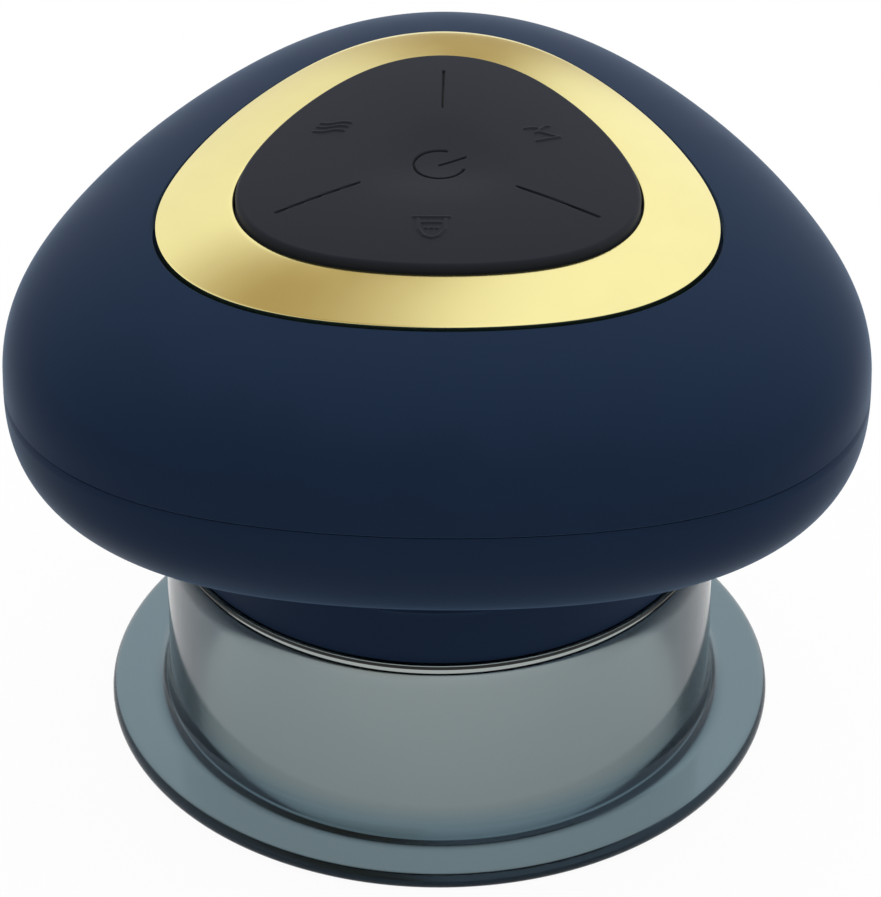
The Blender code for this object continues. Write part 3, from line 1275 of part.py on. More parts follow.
def pump_head():
    """The front cap of the pump, with its inlet and outlet nozzles."""
    head = pump_slab("pump_head", HEAD_BACK, PUMP_HEAD_THICKNESS, "black_abs")
    tip = PUMP_FRONT + NOZZLE_LENGTH
    roots, tips = nozzle_places(HEAD_BACK + PUMP_HEAD_THICKNESS / 2), nozzle_places(tip)
    fuse(head, *rods("nozzle", NOZZLE_RADIUS, roots, tips, TUBE_STEPS))
    starts, ends = nozzle_places(HEAD_BACK - OVERRUN), nozzle_places(tip + OVERRUN)
    return cut(head, *rods("nozzle_bore", NOZZLE_BORE, starts, ends))


def pump_screws():
    """Two long screws that clamp the pump's stack."""
    tips = pump_screw_places(HOUSING_BACK + WALL / 2)
    return screws("pump_screw", tips, pump_screw_places(PUMP_FRONT + GAP))


def pump_sleeve():
    """The rubber sleeve round the motor that keeps its hum off the chassis."""
    inner = MOTOR_RADIUS + GAP
    outer = inner + SLEEVE_THICKNESS
    section = [(outer, SLEEVE_LENGTH), (outer, 0), (inner, 0), (inner, SLEEVE_LENGTH)]
    return pump_turned("pump_sleeve", section, "black_silicone", (sum(CRADLE_PLACES) - SLEEVE_LENGTH) / 2)


RELEASE_Y = CHARGE_BOARD_FRONT - RELEASE_CLEAR - RELEASE_SIDE / 2
RELEASE_Z = CHASSIS_TOP + GAP + RELEASE_SIDE / 2
RELEASE_BACK = RELEASE_X - RELEASE_LENGTH / 2
RELEASE_FRONT = RELEASE_X + RELEASE_LENGTH / 2


def on_release(x):
    return Vector((x, RELEASE_Y, RELEASE_Z))


COIL_BACK = RELEASE_BACK + RELEASE_WALL + GAP
COIL_FRONT = COIL_BACK + COIL_LENGTH
PLUNGER_BACK = COIL_BACK + PLUNGER_TRAVEL + GAP
PLUNGER_FRONT = COIL_FRONT + PLUNGER_NOSE
PORT_BLOCK_BACK = PLUNGER_FRONT + GAP


def valve_frame():
    """The bent steel yoke: two ends joined by one side, with the plunger's holes."""
    height = RELEASE_SIDE
    length = COIL_FRONT + GAP + RELEASE_WALL - RELEASE_BACK
    centre = on_release(RELEASE_BACK + length / 2)
    frame = block("valve_frame", (length, RELEASE_SIDE, height), centre, "steel")
    inner = (length - 2 * RELEASE_WALL, 2 * RELEASE_SIDE, height)
    cut(frame, block("yoke_hollow", inner, centre + Vector((0, 0, RELEASE_WALL)), None))
    ends = [on_release(x) for x in (COIL_FRONT - OVERRUN / 2, COIL_FRONT + 2 * OVERRUN)]
    return cut(frame, rod("yoke_hole", PLUNGER_RADIUS + GAP, *ends, None))


def valve_coil():
    """The wound coil, between the two cheeks of its bobbin."""
    winding = COIL_RADIUS - COIL_CHEEK
    section = [
        (COIL_RADIUS, COIL_LENGTH),
        (COIL_RADIUS, COIL_LENGTH - COIL_CHEEK),
        (winding, COIL_LENGTH - COIL_CHEEK),
        (winding, COIL_CHEEK),
        (COIL_RADIUS, COIL_CHEEK),
        (COIL_RADIUS, 0),
        (COIL_BORE, 0),
        (COIL_BORE, COIL_LENGTH),
    ]
    return turned("valve_coil", section, "copper", on_release(COIL_BACK), (1, 0, 0), TUBE_STEPS)


def valve_plunger():
    """The moving core: its soft tip shuts the port until the coil draws it back."""
    return rod("valve_plunger", PLUNGER_RADIUS, on_release(PLUNGER_BACK), on_release(PLUNGER_FRONT), "steel")


def valve_port():
    """The plastic port block in front of the plunger, with its nozzle."""
    size = (RELEASE_FRONT - PORT_BLOCK_BACK, RELEASE_SIDE, RELEASE_SIDE)
    port = block("valve_port", size, on_release(PORT_BLOCK_BACK + size[0] / 2), "black_abs")
    tip = RELEASE_FRONT + NOZZLE_LENGTH
    nozzle = [on_release(x) for x in (RELEASE_FRONT - OVERRUN / 2, tip)]
    fuse(port, rod("port_nozzle", NOZZLE_RADIUS, *nozzle, None, TUBE_STEPS))
    way = [on_release(x) for x in (PORT_BLOCK_BACK - OVERRUN, tip + OVERRUN)]
    return cut(port, rod("port_way", NOZZLE_BORE, *way, None))


def valve_spring():
    """The return spring, one wire wound round the plunger between the yoke and the port block."""
    radius = PLUNGER_RADIUS + 2 * RELEASE_SPRING_WIRE + GAP
    back = COIL_FRONT + RELEASE_WALL + 2 * GAP + RELEASE_SPRING_WIRE
    front = PORT_BLOCK_BACK - GAP - RELEASE_SPRING_WIRE
    count = RELEASE_SPRING_TURNS * SCREW_STEPS + 1
    turns = np.linspace(0, 2 * math.pi * RELEASE_SPRING_TURNS, count)
    places = np.linspace(back, front, count)
    points = [on_release(x) + Vector((0, radius * math.cos(turn), radius * math.sin(turn)))
              for x, turn in zip(places, turns)]
    return wire("valve_spring", points, RELEASE_SPRING_WIRE, "steel", 1)


def wire(name, points, radius, look_name, resolution=2, capped=True):
    """A round wire through the points, its ends filled or left open."""
    curve = bpy.data.curves.new(name, "CURVE")
    curve.dimensions = "3D"
    curve.bevel_depth = radius
    curve.bevel_resolution = resolution
    curve.use_fill_caps = capped
    spline = curve.splines.new("POLY")
    spline.points.add(len(points) - 1)
    for spot, point in zip(spline.points, points):
        spot.co = (*point, 1)
    return applied(new_object(name, curve, look_name))


def smooth_route(points, per_span=3):
    """A smooth curve through the route's points, with straight ends."""
    points = [Vector(point) for point in points]
    points = [2 * points[0] - points[1]] + points + [2 * points[-1] - points[-2]]
    route = []
    for before, start, end, after in zip(points, points[1:], points[2:], points[3:]):
        for share in (i / per_span for i in range(per_span)):
            route.append(
                0.5
                * (
                    2 * start
                    + (end - before) * share
                    + (2 * before - 5 * start + 4 * end - after) * share**2
                    + (3 * start - before - 3 * end + after) * share**3
                )
            )
    return route + [points[-2]]


def hose(name, points):
    """A silicone hose along a smooth route: an open skin, thickened inwards to its bore."""
    body = wire(name, smooth_route(points), HOSE_RADIUS, "clear_silicone", capped=False)
    wall = body.modifiers.new("Wall", "SOLIDIFY")
    wall.thickness = HOSE_WALL
    wall.offset = -1
    return body


TEE_Z = CUP_HEIGHT + TEE_LIFT
TEE_PLACE = polar(PORT_REACH, PORT_TURN, TEE_Z)


def hose_tee():
    """The three-way joint of the air line: straight up, with one arm to the side."""
    up = Vector((0, 0, TEE_LENGTH))
    side = Vector((TEE_LENGTH, 0, 0))
    tee = rod("hose_tee", NOZZLE_RADIUS, TEE_PLACE - up, TEE_PLACE + up, "grey_abs", TUBE_STEPS)
    fuse(tee, rod("tee_arm", NOZZLE_RADIUS * TEE_ARM_SHARE, TEE_PLACE, TEE_PLACE + side, None))
    run = [TEE_PLACE - 2 * up, TEE_PLACE + 2 * up]
    cut(tee, rod("tee_run", NOZZLE_BORE, *run, None))
    way = [TEE_PLACE, TEE_PLACE + 2 * side]
    return cut(tee, rod("tee_way", NOZZLE_BORE * TEE_ARM_SHARE, *way, None, SCREW_STEPS))


def port_hose():
    """From the base plate's port pipe up to the tee."""
    lap = GAP + HOSE_WALL
    foot = polar(PORT_REACH, PORT_TURN, BASE_FACE + BASE_HEIGHT + GAP)
    top = TEE_PLACE - Vector((0, 0, HOSE_RADIUS + lap))
    return pipe("port_hose", HOSE_RADIUS, HOSE_BORE, foot, top, "clear_silicone")


def pump_hose():
    """From the tee's top round to the pump's inlet nozzle."""
    inlet = nozzle_places(PUMP_FRONT + NOZZLE_LENGTH - HOSE_LAP)[0]
    start = TEE_PLACE + Vector((0, 0, HOSE_RADIUS + 2 * GAP))
    rise = Vector((0, 0, HOSE_LAP))
    out = Vector((HOSE_LAP, 0, 0))
    bend = (start + inlet) / 2 + 1.4 * rise + 2.4 * out
    route = [start, start + rise, start + 1.6 * rise, bend, inlet + 1.8 * out, inlet + out, inlet]
    return hose("pump_hose", route)


def valve_hose():
    """From the tee's side arm round the pump's head to the release valve's nozzle."""
    outlet = on_release(RELEASE_FRONT + NOZZLE_LENGTH - HOSE_LAP)
    start = TEE_PLACE + Vector((HOSE_RADIUS + 2 * GAP, 0, 0))
    out = Vector((HOSE_LAP, 0, 0))
    side = Vector((HOSE_SIDE, PUMP_Y, RELEASE_Z - HOSE_RADIUS / 2))
    front = Vector((HOSE_SIDE, TEE_PLACE.y * HOSE_FRONT_SHARE, (TEE_Z + RELEASE_Z) / 2))
    across, back = HOSE_CORNER_SHARES
    corner = Vector((HOSE_SIDE * across, RELEASE_Y * back, RELEASE_Z - HOSE_RADIUS / 4))
    route = [start, start + out, start + 1.6 * out, front, side, corner]
    return hose("valve_hose", route + [outlet + 2 * out, outlet + out, outlet])


# The charging socket


def usb_socket():
    """The socket's steel shell: a rounded sleeve, open to the back."""
    shell = block("usb_socket", (SOCKET_WIDTH, SOCKET_DEPTH, SOCKET_HEIGHT), socket_centre(), "steel")
    round_ends(shell, SOCKET_ROUNDING)
    inner = (SOCKET_WIDTH - 2 * SOCKET_SHELL, SOCKET_DEPTH, SOCKET_HEIGHT - 2 * SOCKET_SHELL)
    hollow = block("socket_hollow", inner, socket_centre() + Vector((0, 2 * SOCKET_SHELL, 0)), None)
    round_ends(hollow, SOCKET_ROUNDING - SOCKET_SHELL)
    return cut(shell, hollow)


def round_ends(obj, radius, axis=1):
    """Rounds the edges of a box that run along one axis."""
    rounding = obj.modifiers.new("Ends", "BEVEL")
    rounding.width = radius
    rounding.segments = 3
    rounding.limit_method = "WEIGHT"
    weights = obj.data.attributes.new("bevel_weight_edge", "FLOAT", "EDGE")
    for edge in obj.data.edges:
        first, last = (obj.data.vertices[i].co for i in edge.vertices)
        weights.data[edge.index].value = float(abs(first[axis] - last[axis]) > 0)


def socket_centre():
    return Vector((0, SOCKET_MOUTH - SOCKET_DEPTH / 2, SOCKET_Z))


def usb_tongue():
    """The contact tongue inside the socket."""
    back = SOCKET_MOUTH - SOCKET_DEPTH + 2 * SOCKET_SHELL + GAP
    centre = (0, back + TONGUE_DEPTH / 2, SOCKET_Z)
    return block("usb_tongue", (TONGUE_WIDTH, TONGUE_DEPTH, TONGUE_HEIGHT), centre, "black_abs")


def charge_board():
    z = (SOCKET_BOARD_TOP + SOCKET_BOARD_FOOT) / 2
    centre = (0, CHARGE_BOARD_FRONT + CHARGE_BOARD_DEPTH / 2, z)
    size = (CHARGE_BOARD_WIDTH, CHARGE_BOARD_DEPTH, CHARGE_BOARD_THICKNESS)
    board = block("charge_board", size, centre, "green_board")
    below = charge_post_places(SOCKET_BOARD_FOOT - OVERRUN)
    above = charge_post_places(SOCKET_BOARD_TOP + OVERRUN)
    return cut(board, *rods("charge_hole", SCREW_HOLE, below, above, SCREW_STEPS))


# The wiring


def ribbon_cable():
    """The flat cable from the main board's back edge down to the charge board."""
    half = RIBBON_THICKNESS / 2
    top = BOARD_FOOT - GAP - half
    foot = SOCKET_BOARD_TOP + GAP + half
    end = CHARGE_BOARD_FRONT + WALL
    start = BOARD_BOSS_REACH + SCREW_HEAD + 2 * GAP
    route = [(start, top), (start + WALL, top), (end, (top + foot) / 2)]
    route += [(end + WALL, foot), (end + 2 * WALL, foot)]
    route = [Vector((y, z)) for y, z in route]
    steps = [after - before for before, after in zip(route, route[1:])]
    ways = [steps[0]] + [a.normalized() + b.normalized() for a, b in zip(steps, steps[1:])] + [steps[-1]]
    sides = [Vector((-way.y, way.x)).normalized() * half for way in ways]
    outline = [point + side for point, side in zip(route, sides)]
    outline += [point - side for point, side in reversed(list(zip(route, sides)))]
    cable = prism("ribbon_cable", outline, -RIBBON_WIDTH / 2, RIBBON_WIDTH / 2, "grey_abs")
    cable.matrix_world = Matrix(((0, 0, 1, 0), (1, 0, 0, 0), (0, 1, 0, 0), (0, 0, 0, 1)))
    return cable


def motor_lead():
    """The lead from the motor's end cap up to the main board."""
    start = on_pump(MOTOR_BACK - 2 * GAP) + Vector((0, 0, MOTOR_RADIUS / 2))
    out = Vector((-WALL, 0, 0))
    end = Vector((WALL - BOARD_RADIUS, PUMP_Y, BOARD_FOOT - 3 * GAP))
    drop = Vector((0, 0, -LEAD_RADIUS))
    corner = Vector((start.x + 1.4 * out.x, PUMP_Y, PUMP_Z + MOTOR_RADIUS))
    points = smooth_route([start, start + out, corner, end + drop, end], 3)
    return wire("motor_lead", points, LEAD_RADIUS, "red_lead", 1)


# The assembly


def empty(name, place):
    obj = bpy.data.objects.new(name, None)
    obj.location = place
    obj.empty_display_size = HEAD_RADIUS / 4
    PARTS.objects.link(obj)
    return obj


def hang(parent, *children):
    """Parents the pieces where they stand."""
    bpy.context.view_layer.update()
    for child in children:
        child.parent = parent
        child.matrix_parent_inverse = parent.matrix_world.inverted()


def plan_middle():
    """How far the middle of the head's plan lies behind the cup's axis."""
    back, front = (HEAD_RADIUS * float(lobing(turn)) for turn in (math.pi / 2, -math.pi / 2))
    return (back - front) / 2


def build():
    device = empty("device", (0, 0, 0))
    head = empty("head_slide", (0, 0, CUP_HEIGHT))
    hang(
        head,
        top_shell(),
        lower_shell(),
        *shell_screws(),
        trim_ring(),
        keypad_frame(),
        main_board(),
        base_plate(),
        *base_screws(),
        port_filter(),
        light_ring(),
        heater_plate(),
        heater_film(),
        temperature_sensor(),
        led_board(),
        cup_seal(),
        chassis(),
        battery(),
        battery_pad(),
        motor_can(),
        motor_end_cap(),
        motor_magnet(),
        pump_sleeve(),
        pump_housing(),
        pump_rocker(),
        pump_diaphragm(),
        pump_valve_plate(),
        pump_head(),
        *pump_screws(),
        valve_frame(),
        valve_coil(),
        valve_spring(),
        valve_port(),
        hose_tee(),
        port_hose(),
        pump_hose(),
        valve_hose(),
        usb_socket(),
        usb_tongue(),
        charge_board(),
        ribbon_cable(),
        motor_lead(),
    )
    rotor = empty("pump_rotor", on_pump(CRANK_BACK))
    hang(rotor, motor_shaft(), motor_armature(), motor_commutator(), pump_eccentric())
    plunger = empty("plunger_slide", on_release(PLUNGER_FRONT))
    hang(plunger, valve_plunger())
    slides = []
    for name, place in key_places(TRAY_TOP + PAD_CROWN).items():
        slide = empty(f"{name}_key_slide", place)
        hang(slide, key(name), switch_button(name))
        slides.append(slide)
    hang(head, rotor, plunger, *slides)
    hang(device, cup(), head, *TOOLS.objects)
    device.location.y = -plan_middle()
    bpy.context.view_layer.update()


build()
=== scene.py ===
"""Electric cupping massager: the looks of its pieces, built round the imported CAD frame.

Metres, +Z up. The cup's mouth lies on the floor and one lobe of the head points to +Y, the back.
"""

import math

import bpy
import numpy as np
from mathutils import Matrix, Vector


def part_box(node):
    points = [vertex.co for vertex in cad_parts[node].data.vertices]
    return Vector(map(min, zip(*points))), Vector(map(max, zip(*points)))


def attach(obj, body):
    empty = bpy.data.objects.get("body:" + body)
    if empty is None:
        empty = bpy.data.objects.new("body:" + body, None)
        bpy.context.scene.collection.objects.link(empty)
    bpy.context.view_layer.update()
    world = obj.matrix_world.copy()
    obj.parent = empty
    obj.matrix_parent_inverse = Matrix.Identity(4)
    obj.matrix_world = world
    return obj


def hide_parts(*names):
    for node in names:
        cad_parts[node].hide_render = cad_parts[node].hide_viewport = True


bl_info = {
    "name": "Cupping massager",
    "version": (1, 0, 0),
    "blender": (4, 5, 0),
    "location": "3D View > Sidebar > Massager",
    "description": "Builds the shells, bezel, keypad, clear cup and base of a cupping massager",
    "category": "Object",
}

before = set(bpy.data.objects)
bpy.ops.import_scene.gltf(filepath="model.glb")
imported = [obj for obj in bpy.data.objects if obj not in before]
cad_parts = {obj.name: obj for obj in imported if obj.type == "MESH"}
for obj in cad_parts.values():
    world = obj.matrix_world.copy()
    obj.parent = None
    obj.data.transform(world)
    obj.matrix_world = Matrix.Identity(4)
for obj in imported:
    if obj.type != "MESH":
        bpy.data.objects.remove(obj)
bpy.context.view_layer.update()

MM = 0.001
# Less than this counts as nothing
HAIR = 0.001 * MM

# Turns in radians, counted from +X. BACK points to the back, +Y
FULL = 2 * math.pi
THIRD = FULL / 3
QUARTER = FULL / 4
BACK = QUARTER

# Places that the frame gives
CUP_LOW, CUP_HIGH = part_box("cup")
AXIS_Y = (CUP_LOW.y + CUP_HIGH.y) / 2
CUP_TOP = CUP_HIGH.z
FLANGE_RADIUS = (CUP_HIGH.x - CUP_LOW.x) / 2
PLATE_LOW, PLATE_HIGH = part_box("base_plate")
BASE_FACE = PLATE_LOW.z
BASE_RADIUS = (PLATE_HIGH.x - PLATE_LOW.x) / 2
PAD_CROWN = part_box("keypad_frame")[1].z

# Steps round a turned piece, along its curves and round a rounded corner
LOBE_STEPS = 384
CUP_STEPS = 256
SMALL_STEPS = 64
DOME_STEPS = 90
CURVE_STEPS = 24
ARC_STEPS = 7

# Edges that turn by more degrees than this are shaded sharp
SHARP = 40


def linear(code):
    """sRGB hex to linear red, green and blue, by the curve of the sRGB standard."""
    coded = np.array([int(code[i : i + 2], 16) for i in (0, 2, 4)]) / 255
    curved = ((coded + 0.055) / 1.055) ** 2.4
    return tuple(float(x) for x in np.where(coded <= 0.04045, coded / 12.92, curved))


def number(label, default, description, **kind):
    return bpy.props.FloatProperty(name=label, default=default, description=description, **kind)


def length(label, millimetres, description):
    return number(label, millimetres * MM, description, unit="LENGTH", precision=5)


def share(label, default, description):
    return number(label, default, description, subtype="FACTOR", precision=4)


def angle(label, degrees, description):
    return number(label, math.radians(degrees), description, subtype="ANGLE")


def colour(label, code, description):
    return bpy.props.FloatVectorProperty(
        name=label, default=linear(code), description=description, subtype="COLOR", size=3, min=0, max=1
    )


class HeadSizes(bpy.types.PropertyGroup):
    """The head's plan and its dome and bowl."""

    radius: length("Radius", 43.74, "Mean radius of the head's plan at its widest line")
    lobe: share("Lobes", 0.092, "How far three lobes swell out of the mean radius")
    point: share("Lobe points", 0.008, "How pointed each lobe is")
    equator: length("Widest line", 48.9, "Height of the widest line, where the two shells meet")
    dome_rise: length("Dome", 17.8, "Height of the dome over the widest line")
    dome_power: number("Dome power", 2.83, "Squareness of the dome")
    bowl_drop: length("Bowl", 23.2, "Depth of the bowl under the widest line")
    bowl_power: number("Bowl power", 2.6, "Squareness of the bowl")
    run_on: length("Bowl run-on", 20.9, "How far beyond the axis the bowl's curve has its middle")
    neck: length("Neck", 28.9, "Radius of the round neck over the cup")
    fade: length("Lobe fade", 3.5, "Width over which the lobes fade to the round neck")
    wall: length("Wall", 2.0, "Thickness of both shells")
    parting: length("Parting line", 0.1, "Gap between the two shells")
    groove: length("Groove", 0.3, "Gap round the bezel")


class BezelSizes(bpy.types.PropertyGroup):
    """The gold bezel round the keypad."""

    outer: length("Outer radius", 28.24, "Mean radius of the outer edge")
    inner: length("Inner radius", 20.45, "Mean radius of the inner edge")
    outer_proud: length("Outer edge", 0.25, "How far the outer edge stands over the dome")
    inner_proud: length("Inner edge", 0.6, "How far the inner edge stands over the dome")
    crown: length("Crown", 0.12, "How far its face swells between the edges")
    rounding: length("Rounding", 0.22, "Rounding of both edges")
    thickness: length("Thickness", 1.2, "Thickness of the bezel")


class KeypadSizes(bpy.types.PropertyGroup):
    """The silicone keypad and the marks on it."""

    radius: length("Radius", 20.29, "Mean radius of the keypad")
    edge: length("Edge", 0.5, "Width of the rounded edge")
    shoulder: length("Shoulder", 0.55, "Drop from the crown to the rounded edge")
    dish: length("Dish", 0.45, "Depth of the dish of the power key")
    dish_radius: length("Dish radius", 9.0, "Radius of the crown round the dish")
    stroke: length("Stroke", 0.24, "Width of the engraved lines")
    depth: length("Engraving", 0.28, "Depth of the engraved lines")
    relief: length("Relief", 0.15, "Height of the raised symbols")
    symbol: length("Symbol stroke", 0.34, "Width of the lines of the raised symbols")


class CupSizes(bpy.types.PropertyGroup):
    """The clear cup."""

    radius: length("Radius", 29.5, "Outer radius of the straight wall")
    wall: length("Wall", 2.2, "Thickness of the wall")
    height: length("Height", CUP_TOP / MM, "Height from mouth to rim")
    flange: length("Flange radius", FLANGE_RADIUS / MM, "Outer radius of the flange at the mouth")
    flange_thickness: length("Flange thickness", 1.85, "Thickness of the flange")
    flare: length("Flare", 2.1, "How far the foot of the wall flares out")
    flare_rise: length("Flare rise", 3.0, "Height of the flared foot")
    bead: length("Bead", 0.45, "Height of the rim's bead")
    gasket: length("Gasket", 0.12, "Thickness of the black gasket round the bead")
    neck: length("Neck", 0.7, "Depth of the groove under the bead")
    shoulder: length("Shoulder", 2.5, "Height of the rounded shoulder under the groove")


class Colours(bpy.types.PropertyGroup):
    """The colours of the visible finishes."""

    shell: colour("Shell", "1C2D46", "Soft-touch paint of both shells")
    bezel: colour("Bezel", "FBF0AA", "Gold plating of the bezel")
    keypad: colour("Keypad", "24272F", "Silicone of the keypad")
    cup: colour("Cup wall", "DAD8D0", "Clear polycarbonate of the cup's wall")
    # Painted shade: the flange's colour is darker and bluer than the wall's, for the light lost in the thick
    # flange
    flange: colour("Cup flange", "BBC7C9", "The same polycarbonate in the flange, where it gathers tint")
    smoke: colour("Smoke", "81A0AD", "Tint that the cup takes on through its thickness")


class Studio(bpy.types.PropertyGroup):
    """Camera, light and floor."""

    distance: length("Distance", 626, "Camera distance from the point it looks at")
    target: length("Target height", 31.65, "Height of the point that the camera looks at")
    aside: length("Target aside", 0.11, "How far that point lies to the right of the cup's axis")
    elevation: angle("Elevation", 35.3, "Camera angle over the floor")
    azimuth: angle("Azimuth", 1.385, "Camera angle to the right of the front")
    lens: number("Lens", 239.05, "Focal length in mm", unit="CAMERA")
    lamp: length("Lamp", 800, "Width of the soft lamp overhead")
    sky: share("Sky", 0.8, "Strength of the soft light from all round")
    glow: share("Floor glow", 0.95, "Share of the floor's white that no shadow darkens")
    bounce: share("Floor bounce", 0.62, "How light the floor is in the light that it throws back")
    front: share("Floor in front", 0.2, "How light the floor is in reflections in front of the object")
    gap: colour("Tent gaps", "B09E84", "Colour of the gaps in the light tent that the bezel mirrors")


# Shapes as arrays


def smooth(value):
    """Zero below 0 and one above 1, with the curve 3v squared less 2v cubed between."""
    value = np.clip(value, 0, 1)
    return value * value * (3 - 2 * value)


def lobing(turn, head):
    """Plan radius over the mean radius: 1 + lobe cos 3a + point cos 6a, where a is the turn from the back."""
    return 1 + head.lobe * np.cos(3 * (turn - BACK)) + head.point * np.cos(6 * (turn - BACK))


def dome_height(radius, head, inset=0.0):
    """Superellipse over the mean radius r: equator + rise (1 - (r / radius) ^ p) ^ (1 / p)."""
    part = np.clip(radius / (head.radius - inset), 0, 1)
    return head.equator + (head.dome_rise - inset) * (1 - part**head.dome_power) ** (1 / head.dome_power)


def bowl_radius(height, head, inset=0.0):
    """The bowl's superellipse, its middle a run-on beyond the axis.

    Radius is (R + run-on) (1 - d ^ p) ^ (1 / p) - run-on, where d is the share of the bowl's depth.
    """
    drop = np.clip((head.equator - height) / (head.bowl_drop - inset), 0, 1)
    widest = head.radius - inset + head.run_on
    return widest * (1 - drop**head.bowl_power) ** (1 / head.bowl_power) - head.run_on


def rounded(corners, steps=ARC_STEPS):
    """An outline of (radius, height, rounding) corners, each rounding drawn as an arc tangent to both sides.

    The arc's middle lies on the corner's bisector, rounding / sin(half the corner's angle) away. From there
    its points are (start sin((1 - s) sweep) + end sin(s sweep)) / sin(sweep), with s from 0 to 1.
    """
    corners = np.array(corners, float)
    points, fillets = corners[:, :2], corners[:, 2]
    before = np.roll(points, 1, 0) - points
    after = np.roll(points, -1, 0) - points
    before /= np.maximum(np.linalg.norm(before, axis=1, keepdims=True), HAIR)
    after /= np.maximum(np.linalg.norm(after, axis=1, keepdims=True), HAIR)
    halves = np.arccos(np.clip((before * after).sum(1), -1, 1)) / 2
    shares = np.linspace(0, 1, steps)[:, None]
    outline = []
    for point, fillet, back, on, half in zip(points, fillets, before, after, halves):
        if fillet <= 0:
            outline.append(point[None])
            continue
        middle = point + (back + on) / np.linalg.norm(back + on) * fillet / math.sin(half)
        start = point + back * fillet / math.tan(half) - middle
        end = point + on * fillet / math.tan(half) - middle
        sweep = math.pi - 2 * half
        arc = np.sin((1 - shares) * sweep) * start + np.sin(shares * sweep) * end
        outline.append(middle + arc / math.sin(sweep))
    return np.concatenate(outline)


def over(level, *corners, steps=ARC_STEPS):
    """Rounded corners of (radius, height, rounding) in millimetres, the height counted from a level."""
    return rounded([(radius * MM, level + height * MM, edge * MM) for radius, height, edge in corners], steps)


def band(rows, columns, closed_rows=False, closed_columns=True):
    """Quads of a grid of rows by columns, numbered row by row."""
    row = np.arange(rows if closed_rows else rows - 1)
    column = np.arange(columns if closed_columns else columns - 1)
    row, column = np.meshgrid(row, column, indexing="ij")
    down, on = (row + 1) % rows, (column + 1) % columns
    quads = [row * columns + column, down * columns + column, down * columns + on, row * columns + on]
    return np.stack(quads, -1).reshape(-1, 4)


def fan(pole, ring):
    """Triangles from a pole to each side of a closed ring of points."""
    return np.stack([np.full(len(ring), pole), ring, np.roll(ring, -1)], 1)


class Form:
    """Points and faces that grow piece by piece until they become one mesh."""

    def __init__(self):
        self.points = np.zeros((0, 3))
        self.faces = []
        self.values = np.zeros(0)

    def add(self, points, faces, values=None):
        """Adds one closed body and turns its faces outwards, so that its signed volume is positive."""
        points = np.asarray(points, float).reshape(-1, 3)
        volume = 0.0
        for group in faces:
            for i in range(1, group.shape[1] - 1):
                a, b, c = points[group[:, 0]], points[group[:, i]], points[group[:, i + 1]]
                volume += float((a * np.cross(b, c)).sum())
        start = len(self.points)
        self.faces += [(group if volume > 0 else group[:, ::-1]) + start for group in faces]
        self.points = np.concatenate([self.points, points])
        self.values = np.concatenate([self.values, np.zeros(len(points)) if values is None else values])
        return self

    def piece(self, name, body, material, slot_name, replaces=(), sharp=SHARP):
        """The mesh object, smooth but for sharp edges, with its body and the nodes it replaces. Its slot name
        is not used.
        """
        mesh = bpy.data.meshes.new(name)
        mesh.from_pydata(self.points, [], [face for group in self.faces for face in group.tolist()])
        # How deep each point lies in an engraved line, which the silicone reads to paint shade into the lines
        if self.values.any():
            attribute = mesh.attributes.new("engraved", "FLOAT", "POINT")
            attribute.data.foreach_set("value", self.values.astype(np.float32))
        mesh.shade_smooth()
        mesh.set_sharp_from_angle(angle=math.radians(sharp))
        mesh.materials.append(bpy.data.materials[material])
        obj = bpy.data.objects.new(name, mesh)
        bpy.context.scene.collection.objects.link(obj)
        if body:
            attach(obj, body)
        if replaces:
            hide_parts(*replaces)
        return obj


def turned_grid(section, steps=CUP_STEPS, plan=None, centre=(0.0, 0.0)):
    """A section of (radius, height) carried round a vertical axis, with poles where it meets the axis.

    Point (i, j) is the section's point i at turn 2 pi j / steps. plan(radius, turn) may draw the radius out.
    """
    section = np.asarray(section, float)
    starts, ends = (bool(abs(section[i, 0]) < HAIR) for i in (0, -1))
    rim = section[int(starts) : len(section) - int(ends)]
    turn = np.arange(steps) * FULL / steps
    radius, turn = np.broadcast_arrays(rim[:, :1], turn[None])
    reach = plan(radius, turn) if plan else radius
    x = reach * np.cos(turn) + centre[0]
    y = reach * np.sin(turn) + centre[1] + AXIS_Y
    points = np.stack([x, y, np.broadcast_to(rim[:, 1:], radius.shape)], -1).reshape(-1, 3)
    faces = [band(len(rim), steps, closed_rows=not starts)]
    ring = np.arange(steps)
    if starts:
        faces.append(fan(len(points), ring))
        points = np.concatenate([points, [[centre[0], centre[1] + AXIS_Y, section[0, 1]]]])
    if ends:
        faces.append(fan(len(points), ring + (len(rim) - 1) * steps)[:, [0, 2, 1]])
        points = np.concatenate([points, [[centre[0], centre[1] + AXIS_Y, section[-1, 1]]]])
    return points, faces


def turned(section, **shape):
    """The form of one turned section."""
    return Form().add(*turned_grid(section, **shape))


def above(head):
    """Over the widest line every circle takes the same lobed plan."""
    return lambda radius, turn: radius * lobing(turn, head)


def below(head):
    """Under the widest line the lobes shrink by (r + run-on) / (R + run-on) and fade out before the neck."""

    def plan(radius, turn):
        shrink = (radius + head.run_on) / (head.radius + head.run_on)
        fade = smooth((radius - head.neck) / head.fade)
        return radius + head.radius * (lobing(turn, head) - 1) * shrink * fade

    return plan


